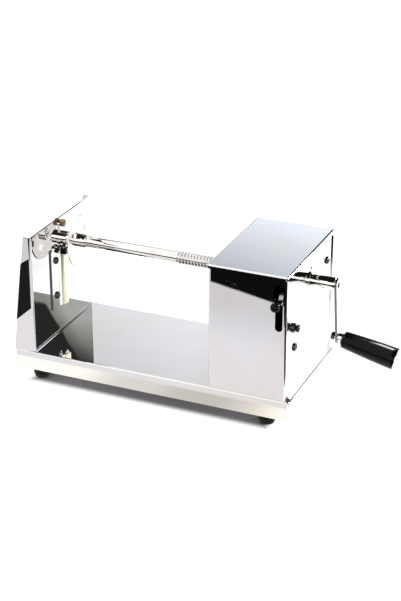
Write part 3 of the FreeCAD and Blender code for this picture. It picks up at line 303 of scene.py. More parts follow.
def paint_sheet(finish, dark_edge=None):
    """Mirror-polished sheet: slow ripple, faint polishing lines and handling smears."""
    tone = colours()
    cloud = finish.noise(finish.place(), 16.0, 3.0)
    lines = finish.noise(finish.place(scale=(4.0, 160.0, 160.0)), 6.0, 2.0)
    smear = finish.noise(finish.place(scale=(1.0, 1.0, 2.2)), 42.0, 5.0, 0.62).rise(0.58, 0.74)
    ripple = finish.noise(finish.place(), 24.0, 1.0)
    bright = finish.mix(cloud.rise(0.35, 0.7) + smear * 0.25, tone.sheet, tone.sheet_warm)
    # The dark edge is a painted shade, given to the knife carrier's front edge.
    if dark_edge is not None:
        bright = finish.mix(dark_edge, bright, PAINTED_EDGE_SHADE)
    finish.principled(
        Base_Color=bright,
        Metallic=1.0,
        Roughness=0.010 + smear * 0.045 + lines * 0.008,
        Normal=finish.bump(ripple + lines * 0.02, 0.00003))


def paint_carrier(finish):
    """Polished sheet with a thin band of painted shade along its front edge, where it meets the end
    bracket.
    """
    _, y, _ = finish.split(finish.place())
    edge = spot(0, CARRIER_EDGE_Y, 0).y
    paint_sheet(finish, 1.0 - y.rise(edge + 0.10 * MM, edge + 0.30 * MM))


def turned_steel(finish):
    """The cloud in bright turned steel, and its colour."""
    tone = colours()
    cloud = finish.noise(finish.place(), 60.0, 3.0)
    return cloud, finish.mix(cloud.rise(0.3, 0.75), tone.turned, tone.sheet_warm)


def tool_rings(finish):
    """Normal of fine rings left by the turning tool."""
    return finish.bump(finish.noise(finish.place(scale=(900.0, 6.0, 6.0)), 4.0, 2.0), 0.000003)


def paint_turned(finish):
    """Bright turned steel, with fine tool rings across the piece's length."""
    cloud, bright = turned_steel(finish)
    finish.principled(
        Base_Color=bright,
        Metallic=1.0,
        Roughness=0.04 + cloud * 0.04,
        Normal=tool_rings(finish))


def paint_rod(finish):
    """Bright turned rod whose thread's grooves are painted dark brown, most of all on the
    underside: an oily stain together with painted shade.
    """
    root = sizes().thread_root
    axis, start = spot(0, ROD_Y, ROD_Z), spot(THREAD_START, 0, 0).x
    x, y, z = finish.split(finish.place())
    y, z = y - axis.y, z - axis.z
    cloud, bright = turned_steel(finish)
    # Painted shade: the thread's grooves are darkened to brown, most of all on the rod's underside,
    # for an oily stain and for the shade there.
    groove = 1.0 - (y * y + z * z).rise((root + 0.25 * MM) ** 2, (root + 0.60 * MM) ** 2)
    under = 1.0 - z.rise(-2.5 * MM, 1.0 * MM)
    oil_and_painted_shade = groove * x.rise(start, start + 1.0 * MM) * (0.10 + under * 0.90)
    finish.principled(
        Base_Color=finish.mix(oil_and_painted_shade, bright, OIL_AND_PAINTED_SHADE),
        Metallic=1.0,
        Roughness=0.04 + cloud * 0.04 + oil_and_painted_shade * 0.15,
        Normal=tool_rings(finish))


def paint_arm(finish):
    """The crank's flat arm: polished faces and dull edges, rough from the saw, all the way round.
    """
    top = spot(0, ROD_Y, ROD_Z)
    _, y, z = finish.split(finish.place())
    y, z = y - top.y, z - top.z
    side = y * math.cos(CRANK_TURN) + z * math.sin(CRANK_TURN)
    down = y * math.sin(CRANK_TURN) - z * math.cos(CRANK_TURN)
    end = (down * -1.0).largest(down - CRANK_RADIUS * MM).largest(0.0)
    dark_edge = (side * side + end * end).rise(((ARM_HALF_WIDTH - 0.20) * MM) ** 2,
                                          ((ARM_HALF_WIDTH - 0.05) * MM) ** 2)
    grain = finish.noise(finish.place(scale=(200.0, 12.0, 12.0)), 6.0, 3.0)
    cloud, bright = turned_steel(finish)
    finish.principled(
        Base_Color=finish.mix(dark_edge * (0.7 + grain * 0.3), bright, SAWN_BAR),
        Metallic=1.0,
        Roughness=0.04 + dark_edge * 0.22 + cloud * 0.03,
        Normal=finish.bump(grain, 0.000003))


def paint_zinc(finish):
    """Zinc-plated fasteners, dulled and spotted."""
    spots = finish.noise(finish.place(), 900.0, 4.0, 0.6)
    finish.principled(
        Base_Color=finish.mix(spots.rise(0.3, 0.75), colours().zinc, DARK_ZINC),
        Metallic=1.0,
        Roughness=0.20 + spots * 0.18,
        Normal=finish.bump(spots, 0.00002))


def paint_dark_reflection_steel(finish):
    """Oiled, polished screws whose near-black colour is a painted dark reflection, with light
    rubbed spots.
    """
    tone = colours()
    spots = finish.noise(finish.place(), 700.0, 4.0, 0.6)
    finish.principled(
        Base_Color=finish.mix(spots.rise(0.5, 0.8) * 0.35, tone.painted_dark_reflection, tone.zinc),
        Metallic=1.0,
        Roughness=0.05 + spots * 0.06,
        Normal=finish.bump(spots, 0.000004))


def paint_mild(finish):
    """Plain steel with a satin, drawn grain."""
    grain = finish.noise(finish.place(scale=(30.0, 400.0, 400.0)), 3.0, 3.0)
    cloud = finish.noise(finish.place(), 70.0, 3.0)
    finish.principled(
        Base_Color=finish.mix(cloud.rise(0.3, 0.7), PALE_MILD, DARK_MILD),
        Metallic=1.0,
        Roughness=0.30 + grain * 0.15,
        Normal=finish.bump(grain, 0.00002))


def paint_spring(finish):
    """Drawn spring wire, oiled."""
    grain = finish.noise(finish.place(), 1400.0, 3.0)
    finish.principled(
        Base_Color=finish.mix(grain, PALE_WIRE, DARK_WIRE),
        Metallic=1.0,
        Roughness=0.22 + grain * 0.2,
        Normal=finish.bump(grain, 0.00001))


def paint_knife(finish):
    """Ground blade: fine grinding lines across its width, a straw tint and a stained root."""
    lines = finish.noise(finish.place(scale=(60.0, 60.0, 1600.0)), 2.0, 3.0)
    cloud = finish.noise(finish.place(), 90.0, 2.0)
    _, y, z = finish.split(finish.place())
    root = spot(0, KNIFE_START_Y, KNIFE_LOW)
    stain = 1.0 - y.rise(root.y + 1.0 * MM, root.y + 2.6 * MM)
    stain = stain * (0.25 + z.rise(root.z, root.z + 45.0 * MM) * 0.65)
    bright = finish.mix(cloud.rise(0.3, 0.7), colours().knife, WARM_KNIFE)
    finish.principled(
        Base_Color=finish.mix(stain, bright, KNIFE_STAIN),
        Metallic=1.0,
        Roughness=0.18 + lines * 0.10,
        Normal=finish.bump(lines, 0.0000005))


def paint_brass(finish):
    """Dull, spotted brass."""
    spots = finish.noise(finish.place(), 700.0, 5.0, 0.65)
    finish.principled(
        Base_Color=finish.mix(spots.rise(0.3, 0.7), colours().brass, DARK_BRASS),
        Metallic=1.0,
        Roughness=0.28 + spots * 0.2,
        Normal=finish.bump(spots, 0.00002))


def paint_plastic(finish):
    """Glossy moulded black plastic with a slow flow ripple and fine scuffs."""
    flow = finish.noise(finish.place(), 55.0, 2.0)
    scuffs = finish.noise(finish.place(scale=(1.0, 3.0, 3.0)), 500.0, 4.0).rise(0.55, 0.8)
    finish.principled(
        Base_Color=finish.mix(scuffs * 0.3, colours().black, SCUFFED_PLASTIC),
        Roughness=0.11 + scuffs * 0.12 + flow * 0.04,
        Specular_IOR_Level=DULL_GLOSS,
        Normal=finish.bump(flow + scuffs * 0.05, 0.00006))


def paint_rubber(finish):
    """Matt moulded rubber with dust and a fine grain."""
    grain = finish.noise(finish.place(), 1800.0, 3.0)
    dust = finish.noise(finish.place(), 160.0, 4.0).rise(0.5, 0.8)
    finish.principled(
        Base_Color=finish.mix(dust * 0.2, colours().rubber, DUSTY_RUBBER),
        Roughness=0.55 + grain * 0.2,
        Specular_IOR_Level=DULL_GLOSS,
        Normal=finish.bump(grain, 0.00004))


# Each finish is a slot of the record, a material's name and the function that paints it.
SHEET = ("polished_steel", "cutter_sheet_steel", paint_sheet)
CARRIER = ("polished_steel", "cutter_knife_carrier", paint_carrier)
TURNED = ("polished_steel", "cutter_turned_steel", paint_turned)
ROD = ("polished_steel", "cutter_feed_rod", paint_rod)
ARM = ("polished_steel", "cutter_crank_arm", paint_arm)
ZINC = ("zinc_steel", "cutter_zinc", paint_zinc)
# Polished screws and bolts painted near black: their colour is a painted dark reflection.
PAINTED_REFLECTION_STEEL = ("zinc_steel", "cutter_painted_dark_reflection_steel", paint_dark_reflection_steel)
MILD = ("mild_steel", "cutter_mild_steel", paint_mild)
SPRING = ("spring_steel", "cutter_spring_wire", paint_spring)
KNIFE = ("knife_steel", "cutter_knife", paint_knife)
BRASS = ("brass", "cutter_brass", paint_brass)
PLASTIC = ("black_plastic", "cutter_black_plastic", paint_plastic)
RUBBER = ("black_rubber", "cutter_rubber", paint_rubber)

FINISH_OF = {
    "base_pan": SHEET, "end_bracket": SHEET, "guide_strap": SHEET, "knife_carrier": CARRIER,
    "housing_front": SHEET, "housing_left": SHEET, "housing_right": SHEET, "housing_cover": SHEET,
    "guide_tube": TURNED, "pusher_disc": TURNED, "disc_collar": TURNED, "rod_end_nut": TURNED,
    "left_bush": TURNED, "right_bush": TURNED, "crank_arm": ARM,
    "grip_pad_front": RUBBER, "grip_pad_rear": RUBBER, "knife_clamp": PLASTIC,
    "knife": KNIFE, "spring_bracket": MILD, "clutch_lever": MILD, "half_nut": BRASS,
    "foot_studs": ZINC, "pivot_spacer": ZINC, "pivot_washer": ZINC, "collar_grub": ZINC,
    "knob_pin": PAINTED_REFLECTION_STEEL, "grip_washer": PAINTED_REFLECTION_STEEL, "grip_bolt": ZINC,
}


# ---- mesh helpers, in millimetres --------------------------------------------
MERGE_DISTANCE = 0.0005
SHARP_ANGLE = math.radians(35.0)
SCREW_PITCH, SCREW_TIP = 0.8, 0.5
WIRE_POINTS = 10


def aim(foot, along):
    """Matrix that takes a shape built in millimetres on +Z to its place in the frame."""
    turn = along.to_track_quat("Z", "Y").to_matrix().to_4x4()
    return Matrix.Translation(foot) @ turn @ Matrix.Scale(MM, 4)


def add_object(name, data):
    """Put an object round its data in the scene."""
    made = bpy.data.objects.new(name, data)
    bpy.context.scene.collection.objects.link(made)
    return made


def mesh_from(name, bm, title, paint):
    """Turn a bmesh into a mesh of one material, and free it."""
    mesh = bpy.data.meshes.new(name)
    bm.to_mesh(mesh)
    bm.free()
    mesh.materials.append(material(title, paint))
    return mesh


def clean(bm):
    bmesh.ops.remove_doubles(bm, verts=bm.verts, dist=MERGE_DISTANCE)
    bmesh.ops.recalc_face_normals(bm, faces=bm.faces)
    return bm


def drawn(points, closed):
    """A bmesh with a chain of (radius, height) points, its corners and its edges."""
    bm = bmesh.new()
    verts = [bm.verts.new((radius, 0.0, height)) for radius, height in points]
    pairs = list(zip(verts, verts[1:]))
    if closed:
        pairs.append((verts[-1], verts[0]))
    return bm, verts, [bm.edges.new(pair) for pair in pairs]


def spun(points, steps, closed=False):
    """A chain of (radius, height) points turned once about Z."""
    bm, verts, edges = drawn(points, closed)
    bmesh.ops.spin(bm, geom=verts + edges, cent=(0, 0, 0), axis=(0, 0, 1), dvec=(0, 0, 0),
                   angle=math.tau, steps=steps, use_merge=True, use_duplicate=False)
    return bm


def lathe(profile, steps):
    """Turn (radius, height) points about Z; a profile with a bore closes on itself."""
    return clean(spun(profile, steps, closed=profile[0][0] > 0 or profile[-1][0] > 0))


def coil(section, pitch, turns, steps):
    """Sweep a closed section of (radius, height) points up a helix, with its ends closed."""
    bm, verts, edges = drawn(section, True)
    total = int(round(turns * steps))
    made = bmesh.ops.spin(bm, geom=verts + edges, cent=(0, 0, 0), axis=(0, 0, 1),
                          dvec=(0, 0, pitch / steps), angle=math.tau * total / steps, steps=total,
                          use_merge=False, use_duplicate=False)
    last = [item for item in made["geom_last"] if isinstance(item, bmesh.types.BMEdge)]
    for end in (edges, last):
        bmesh.ops.contextual_create(bm, geom=end)
    return clean(bm)


def wire_section(mean_radius, radius):
    """Round section of a wire whose coil stands on Z = 0."""
    angles = [math.tau * k / WIRE_POINTS for k in range(WIRE_POINTS)]
    return [(mean_radius + radius * math.cos(a), radius + radius * math.sin(a)) for a in angles]


def bevelled(bm, edges, offset):
    bmesh.ops.bevel(bm, geom=edges, offset=offset, offset_type="OFFSET", segments=2, profile=0.5,
                    affect="EDGES", material=-1, clamp_overlap=True)
    return bm


def soften(bm, offset):
    """Round every sharp edge."""
    sharp = [edge for edge in bm.edges
             if len(edge.link_faces) == 2 and edge.calc_face_angle(0.0) > SHARP_ANGLE]
    return bevelled(bm, sharp, offset)


def hexagon(flats, height, ease=0.35):
    """A hexagonal head or nut on Z = 0, with its corners eased top and bottom."""
    bm = bmesh.new()
    radius = flats / math.sqrt(3)
    middle = Matrix.Translation((0, 0, height / 2))
    bmesh.ops.create_cone(bm, cap_ends=True, cap_tris=False, segments=6, radius1=radius,
                          radius2=radius, depth=height, matrix=middle)
    flat = [edge for edge in bm.edges if abs(edge.verts[0].co.z - edge.verts[1].co.z) < 1e-6]
    return clean(bevelled(bm, flat, ease))


def threaded(radius, low, high):
    """A screw's shank with V grooves turned round it and an eased tip at its low end."""
    profile = [(0.0, low), (radius - SCREW_TIP, low), (radius, low + SCREW_TIP)]
    height = low + SCREW_TIP
    while height + SCREW_PITCH < high:
        profile += [(radius, height + SCREW_PITCH * 0.3),
                    (radius - SCREW_PITCH * 0.45, height + SCREW_PITCH * 0.6),
                    (radius, height + SCREW_PITCH * 0.9)]
        height += SCREW_PITCH
    profile += [(radius, high), (0.0, high)]
    return lathe(profile, 24)


def cross_head(radius, height, width, depth):
    """A domed screw head on Z = 0 with a cross recess."""
    bm = spun([(radius, 0.0), (radius, height * 0.35), (radius * 0.93, height * 0.62),
               (radius * 0.80, height * 0.84), (radius * 0.62, height)], 32)
    bmesh.ops.remove_doubles(bm, verts=bm.verts, dist=MERGE_DISTANCE)
    half, arm = width / 2, radius * 0.55
    corner = [(half, half), (half, arm), (-half, arm), (-half, half), (-arm, half), (-arm, -half),
              (-half, -half), (-half, -arm), (half, -arm), (half, -half), (arm, -half), (arm, half)]
    cross = [bm.verts.new((x, y, height)) for x, y in corner]
    mouth = [bm.edges.new(pair) for pair in zip(cross, cross[1:] + cross[:1])]
    top = [edge for edge in bm.edges if edge.is_boundary and edge.verts[0].co.z > height - 1e-4]
    bmesh.ops.triangle_fill(bm, use_beauty=True, use_dissolve=False, edges=top + mouth,
                            normal=(0, 0, 1))
    walls = bmesh.ops.extrude_edge_only(bm, edges=mouth)
    sunk = [item for item in walls["geom"] if isinstance(item, bmesh.types.BMVert)]
    bmesh.ops.translate(bm, verts=sunk, vec=(0, 0, -depth))
    bmesh.ops.scale(bm, verts=sunk, vec=(0.8, 0.8, 1.0))
    floor = [item for item in walls["geom"] if isinstance(item, bmesh.types.BMEdge)]
    bmesh.ops.contextual_create(bm, geom=floor)
    base = [edge for edge in bm.edges if edge.is_boundary and edge.verts[0].co.z < 1e-4]
    bmesh.ops.contextual_create(bm, geom=base)
    return clean(bm)


def under_side(low, high):
    """Middle of the underside of a box."""
    return Vector(((low.x + high.x) / 2, (low.y + high.y) / 2, low.z))


class Piece:
    """A piece of the machine, gathered from shapes that are each set in place."""

    def __init__(self, name, body, finish, replaces):
        self.name, self.body, self.finish, self.replaces = name, body, finish, replaces
        self.bm = bmesh.new()

    def put(self, shape, matrix):
        shape.transform(matrix)
        part = bpy.data.meshes.new(self.name + "_part")
        shape.to_mesh(part)
        shape.free()
        self.bm.from_mesh(part)
        bpy.data.meshes.remove(part)

    def done(self, smooth=38.0):
        """Make the object; edges of more than smooth degrees stay sharp."""
        slot, title, paint = self.finish
        mesh = mesh_from(self.name, self.bm, title, paint)
        mesh.shade_smooth()
        mesh.set_sharp_from_angle(angle=math.radians(smooth))
        piece = add_object(self.name, mesh)
        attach(piece, self.body)
        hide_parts(*self.replaces)
        return piece


def screw(piece, foot, along, radius, grip, head_r, head_height):
    """A cross-recessed screw; foot is under its head and along points out of the head."""
    size = sizes()
    width = min(size.recess_width / MM, head_r * 0.34)
    depth = min(size.recess_depth / MM, head_height * 0.6)
    piece.put(cross_head(head_r, head_height, width, depth), aim(foot, along))
    piece.put(threaded(radius, -grip, 0.0), aim(foot, along))


# ---- operators -------------------------------------------------------------
class CutterOperator(bpy.types.Operator):
    """Shared setting of the cutter's operators"""
    bl_options = {"REGISTER", "UNDO"}


class CUTTER_OT_sheets(CutterOperator):
    """Give the frame's folded sheets, strap, disc and lever their finishes"""
    bl_idname = "cutter.sheets"
    bl_label = "Finish the sheets"

    def execute(self, context):
        for node, (slot, title, paint) in FINISH_OF.items():
            mesh = frame["nodes"][node].data
            for index in range(len(mesh.materials)):
                mesh.materials[index] = material(title, paint)
        return {"FINISHED"}


class CUTTER_OT_feed_rod(CutterOperator):
    """Turn the hollow feed rod and cut its coarse thread"""
    bl_idname = "cutter.feed_rod"
    bl_label = "Feed rod"

    def execute(self, context):
        size = sizes()
        root, crest, pitch = size.thread_root / MM, size.thread_crest / MM, size.thread_pitch / MM
        bore, spigot, plain = 3.0, 4.5, 6.0
        thread, run_out = THREAD_START, THREAD_STOP
        tip, disc_back, arm, end = 17.05, 22.9, ARM_INSIDE, ARM_OUTSIDE
        profile = [(bore, tip + 0.3), (bore + 0.3, tip), (spigot - 0.3, tip), (spigot, tip + 0.3),
                   (spigot, disc_back), (plain - 0.5, disc_back), (plain, disc_back + 0.5),
                   (plain, thread - 0.9), (plain - 0.15, thread - 0.4), (root, thread),
                   (root, run_out - 0.4), (crest, run_out + 0.6), (crest, arm - 0.35),
                   (crest - 0.35, arm), (spigot, arm), (spigot, end - 0.3), (spigot - 0.3, end),
                   (bore + 0.3, end), (bore, end - 0.3)]
        rod = Piece("feed_rod_threaded", "rod", ROD, ["feed_rod"])
        rod.put(lathe(profile, 72), aim(spot(0, ROD_Y, ROD_Z), X))
        half, sunk, fade_length = pitch * 0.36, root - 0.15, pitch * 0.6
        section = [(sunk, -half), (root + 0.25, -half * 0.86), (crest - 0.22, -half * 0.36),
                   (crest, -half * 0.14), (crest, half * 0.14), (crest - 0.22, half * 0.36),
                   (root + 0.25, half * 0.86), (sunk, half)]
        turns = (run_out - thread - pitch * 0.5) / pitch
        ridge = coil(section, pitch, turns, 44)
        for vert in ridge.verts:
            from_start, from_stop = vert.co.z + half, turns * pitch + half - vert.co.z
            fade = max(0.0, min(1.0, from_start / fade_length, from_stop / fade_length))
            radius = math.hypot(vert.co.x, vert.co.y)
            eased = sunk + (radius - sunk) * fade
            vert.co.x *= eased / radius
            vert.co.y *= eased / radius
        rod.put(ridge, aim(spot(thread + pitch * 0.3, ROD_Y, ROD_Z), X))
        rod.done(50.0)
        return {"FINISHED"}


class CUTTER_OT_clutch_spring(CutterOperator):
    """Wind the compression spring under the clutch lever"""
    bl_idname = "cutter.clutch_spring"
    bl_label = "Clutch spring"

    def execute(self, context):
        size = sizes()
        low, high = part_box("clutch_spring")
        wire = size.spring_wire / MM
        height = (high.z - low.z) / MM
        radius = (high.x - low.x) / 2 / MM - wire
        pitch = (height - 2 * wire) / size.spring_coils
        foot = under_side(low, high)
        spring = Piece("clutch_spring_coil", "stand", SPRING, ["clutch_spring"])
        spring.put(coil(wire_section(radius, wire), pitch, size.spring_coils, 32), aim(foot, Z))
        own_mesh(spring.done())
        return {"FINISHED"}


class CUTTER_OT_screws(CutterOperator):
    """Fit the screws with their heads, cross recesses and threads"""
    bl_idname = "cutter.screws"
    bl_label = "Screws"

    def execute(self, context):
        # Body, finish, feet, direction; then shank radius, grip, head radius and head height.
        kinds = {
            "knife_screws": ("stand", PAINTED_REFLECTION_STEEL, [(STRAP_FACE, KNIFE_SCREW_Y, z)
                                              for z in KNIFE_SCREW_ZS], X, (2.5, 7.2, 4.0, 2.4)),
            "strap_screw": ("stand", PAINTED_REFLECTION_STEEL, [(STRAP_FACE, *STRAP_SCREW)], X, (1.5, 3.0, 2.4, 1.8)),
            "clamp_screw": ("stand", BRASS, [(5.0, 64.8, 97.6)], Z, (1.4, 4.6, 2.5, 2.3)),
            "pivot_bolt": ("stand", PAINTED_REFLECTION_STEEL, [(WALL_FACE, *PIVOT)], X, (3.0, 17.6, 4.1, 2.4)),
            "bracket_screw": ("stand", PAINTED_REFLECTION_STEEL, [(WALL_FACE, *LOW_SCREW)], X, (2.0, 4.9, 4.6, 2.2)),
            "cover_screws": ("stand", ZINC, [(x, HOUSING_BACK, z) for x in (208.0, 278.2)
                                             for z in (18.0, 110.3)], Y, (2.0, 7.4, 3.6, 1.7)),
            "half_nut_screws": ("clutch", ZINC, [(279.6, y, 88.4) for y in (64.0, 76.0)],
                                X, (2.0, 12.6, 3.6, 2.4)),
        }
        for node, (body, finish, feet, along, measures) in kinds.items():
            piece = Piece(node + "_detail", body, finish, [node])
            for foot in feet:
                screw(piece, spot(*foot), along, *measures)
            piece.done()
        return {"FINISHED"}


class CUTTER_OT_bolts(CutterOperator):
    """Fit the brass bolt over the guide tube and the stop bolt on the housing"""
    bl_idname = "cutter.bolts"
    bl_label = "Bolts"

    def execute(self, context):
        strap = Piece("strap_bolt_detail", "stand", BRASS, ["strap_bolt"])
        foot = aim(spot(STRAP_FACE, *STRAP_BOLT), X)
        strap.put(hexagon(7.6, 4.6), foot)
        strap.put(threaded(2.5, -7.2, 0.0), foot)
        strap.done()
        stop = Piece("stop_bolt_detail", "stand", PAINTED_REFLECTION_STEEL, ["stop_bolt"])
        foot = aim(spot(WALL_FACE, *STOP_BOLT), X)
        shank_end, collar_r, collar_height = 4.2, 5.2, 2.2
        collar = [(0.0, 0.0), (collar_r, 0.0), (collar_r, collar_height), (0.0, collar_height)]
        stop.put(threaded(3.0, -5.2, shank_end), foot)
        stop.put(soften(lathe(collar, 40), 0.4), foot)
        stop.put(hexagon(8.0, 2.2, 0.3), aim(spot(WALL_FACE + shank_end, *STOP_BOLT), X))
        stop.done()
        return {"FINISHED"}


class CUTTER_OT_nuts(CutterOperator):
    """Fit the hexagon nuts behind the bracket, in the housing, on the crank and the feet"""
    bl_idname = "cutter.nuts"
    bl_label = "Nuts"

    def execute(self, context):
        knife_places = [(BRACKET_BACK, KNIFE_SCREW_Y, z) for z in KNIFE_SCREW_ZS]
        # Node, finish, places, width across the flats and height.
        kinds = [("guide_nut", TURNED, [(BRACKET_BACK, ROD_Y, ROD_Z)], 16.0, 4.0),
                 ("strap_nut", BRASS, [(BRACKET_BACK, *STRAP_BOLT)], 8.0, 3.2),
                 ("knife_nuts", ZINC, knife_places, 8.0, 3.2),
                 ("pivot_nut", ZINC, [(273.75, *PIVOT)], 10.0, 5.0),
                 ("stop_nut", ZINC, [(BRACKET_INSIDE, *STOP_BOLT)], 9.0, 2.2),
                 ("bracket_screw_nut", ZINC, [(BRACKET_INSIDE, *LOW_SCREW)], 7.0, 2.2)]
        for node, finish, places, flats, height in kinds:
            nut = Piece(node + "_detail", "stand", finish, [node])
            for place in places:
                nut.put(hexagon(flats, height), aim(spot(*place), -X))
            nut.done()
        feet = Piece("foot_nuts_detail", "stand", ZINC, ["foot_nuts"])
        for x, y in FOOT_PLACES:
            feet.put(hexagon(8.0, 3.2), aim(spot(x, y, LIP_INSIDE), Z))
        feet.done()
        crank, nut_depth = Piece("grip_nut_detail", "rod", PAINTED_REFLECTION_STEEL, ["grip_nut"]), 3.0
        crank.put(hexagon(8.0, 4.0), aim(GRIP_FOOT - GRIP_AXIS * nut_depth * MM, -GRIP_AXIS))
        crank.done()
        return {"FINISHED"}


class CUTTER_OT_rivets(CutterOperator):
    """Set the domed rivets of the bracket and the housing"""
    bl_idname = "cutter.rivets"
    bl_label = "Rivets"

    def execute(self, context):
        pan_sheet, bracket_sheet, housing_sheet = 1.5, 1.5, 1.2
        bracket_places = [(-10.5, y, bracket_sheet) for y in (25.0, 70.0, 115.0)]
        housing_places = [(x, y, housing_sheet) for x in (209.8, 276.4) for y in (30.0, 110.0)]
        for node, places, sheet in (("bracket_rivets", bracket_places, bracket_sheet),
                                    ("housing_rivets", housing_places, housing_sheet)):
            low = -pan_sheet - sheet
            profile = [(0.0, low - 1.6), (2.0, low - 1.6), (2.3, low - 1.4), (3.0, low), (2.0, low),
                       (2.0, 0.0), (3.8, 0.0), (3.75, 0.3), (3.3, 0.9), (2.4, 1.35), (1.2, 1.55),
                       (0.0, 1.6)]
            rivets = Piece(node + "_detail", "stand", ZINC, [node])
            for place in places:
                rivets.put(lathe(profile, 28), aim(spot(*place), Z))
            rivets.done(60.0)
        wall = Piece("wall_rivet_detail", "stand", PAINTED_REFLECTION_STEEL, ["wall_rivet"])
        profile = [(0.0, -1.2), (0.8, -1.2), (0.8, 0.0), (1.4, 0.0), (1.3, 0.35), (0.8, 0.7),
                   (0.0, 0.8)]
        wall.put(lathe(profile, 20), aim(spot(WALL_FACE, 73.0, 119.4), X))
        wall.done(60.0)
        return {"FINISHED"}


class CUTTER_OT_grip(CutterOperator):
    """Mould the crank's tapered grip and press its bright cap in"""
    bl_idname = "cutter.grip"
    bl_label = "Crank grip"

    def execute(self, context):
        start, stop = 5.25, 63.25
        bore, pocket = 2.58, 4.65
        plug, bolt_head, washer = 3.0, 3.2, 1.0
        seat = stop - plug - bolt_head - washer
        span = stop - start
        profile = [(bore, start), (6.6, start), (7.9, start + 0.35), (8.7, start + 1.1),
                   (9.0, start + 2.2), (9.35, start + span * 0.12), (9.9, start + span * 0.28),
                   (10.45, start + span * 0.45), (10.9, start + span * 0.60),
                   (11.22, start + span * 0.76), (11.42, start + span * 0.90), (11.5, stop - 0.4),
                   (11.3, stop), (pocket, stop), (pocket, seat), (bore, seat)]
        grip = Piece("crank_grip_moulded", "grip", PLASTIC, ["crank_grip"])
        grip.put(lathe(profile, 96), aim(GRIP_FOOT, GRIP_AXIS))
        grip.done(40.0)
        profile = [(0.0, stop - plug), (pocket - 0.3, stop - plug), (pocket, stop - plug + 0.3),
                   (pocket, stop), (11.3, stop), (11.45, stop + 0.25), (11.3, stop + 0.6),
                   (10.6, stop + 0.9), (9.6, stop + 1.35), (7.4, stop + 1.85), (4.0, stop + 2.12),
                   (0.0, stop + 2.2)]
        cap = Piece("grip_cap_turned", "grip", TURNED, ["grip_cap"])
        cap.put(lathe(profile, 72), aim(GRIP_FOOT, GRIP_AXIS))
        cap.done(35.0)
        return {"FINISHED"}


class CUTTER_OT_knob(CutterOperator):
    """Mould the clutch lever's ball knob"""
    bl_idname = "cutter.knob"
    bl_label = "Clutch knob"

    def execute(self, context):
        radius, pin_radius = 4.9, 2.0
        low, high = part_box("clutch_knob")
        centre = Vector(((low.x + high.x) / 2, low.y + radius * MM, (low.z + high.z) / 2))
        neck = (high.y - centre.y) / MM
        shoulder = math.radians(54.0)
        steps = 14
        turns = [k * (math.pi - shoulder) / steps for k in range(steps + 1)]
        profile = [(radius * math.sin(turn), -radius * math.cos(turn)) for turn in turns]
        profile += [(radius * 0.66, neck - 0.5), (radius * 0.6, neck), (pin_radius, neck),
                    (pin_radius, 0.0), (0.0, 0.0)]
        knob = Piece("clutch_knob_moulded", "clutch", PLASTIC, ["clutch_knob"])
        knob.put(lathe(profile, 48), aim(centre, Y))
        knob.done(45.0)
        return {"FINISHED"}


class CUTTER_OT_feet(CutterOperator):
    """Mould the four rubber feet"""
    bl_idname = "cutter.feet"
    bl_label = "Feet"

    def execute(self, context):
        profile = [(0.0, 0.6), (5.0, 0.6), (5.4, 0.0), (6.6, 0.0), (7.5, 0.35), (8.1, 1.1),
                   (9.0, 4.0), (9.5, 7.2), (9.7, 10.2), (9.5, 11.4), (2.5, 11.4), (2.5, 5.4),
                   (0.0, 5.4)]
        for node in ("foot_front_left", "foot_front_right", "foot_rear_left", "foot_rear_right"):
            foot = Piece(node + "_moulded", "stand", RUBBER, [node])
            foot.put(lathe(profile, 56), aim(under_side(*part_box(node)), Z))
            foot.done(42.0)
        return {"FINISHED"}


# ---- stage -----------------------------------------------------------------
# The eye sees a white table and room.  Mirrors see what stands round the machine in a lit room
# instead: a table that ends in front, a sky and a few cards.  Lengths are metres from the middle of
# the footprint, and light is 1 for white.
CAMERA_PLACE, CAMERA_AIM = spot(754.7, -1306.3, 754.2), spot(163.92, 70.0, 61.71)
CAMERA_ROLL = math.radians(0.09)
CAMERA_LENS, SENSOR_HEIGHT = 93.374, 36.0
FLOOR_HALF_SIZE = 12.0
LAMP_AIM = Vector((0.0, 0.0, 0.05))
SHADOW_GREY = (0.20, 0.195, 0.21)
COOL_FLOOR, WARM_FLOOR = (0.99, 0.965, 1.0), (1.0, 0.965, 0.90)
COOL_SKY, PALE_SKY = (0.94, 0.99, 1.08), (0.99, 1.0, 1.04)
CARD_GREY, CARD_BLACK, CARD_WHITE = (0.98, 1.0, 0.98), (0.010, 0.009, 0.008), (1.0, 0.98, 0.96)
TABLE_END, TABLE_SLANT = -0.3414, 0.2966     # where mirrors see the table end, and its slant
GLINT = 45.0


def floor_light(across, along, near):
    """How bright mirrors see the floor in each place."""
    front = 0.85 + along.rise(-0.335, -0.20) * 0.20
    middle = across.rise(-0.150, -0.085) - across.rise(0.050, 0.100)
    centre = across.rise(-0.06, -0.02) - across.rise(0.02, 0.06)
    skirt = 1.42 - middle * 0.47 - centre * 0.18
    light = front + (skirt - front) * near
    light = light + along.rise(-0.075, -0.050) * 0.45
    rear_left = along.rise(0.20, 0.27) * (1.0 - across.rise(0.02, 0.08))
    far = along.rise(0.42, 0.56) * (1.0 - across.rise(0.12, 0.18))
    light = light + rear_left * 0.22 - far * 0.40
    right = across.rise(0.19, 0.21) * (1.0 - along.rise(0.0, 0.04))
    return light * (1.0 - right * 0.97)


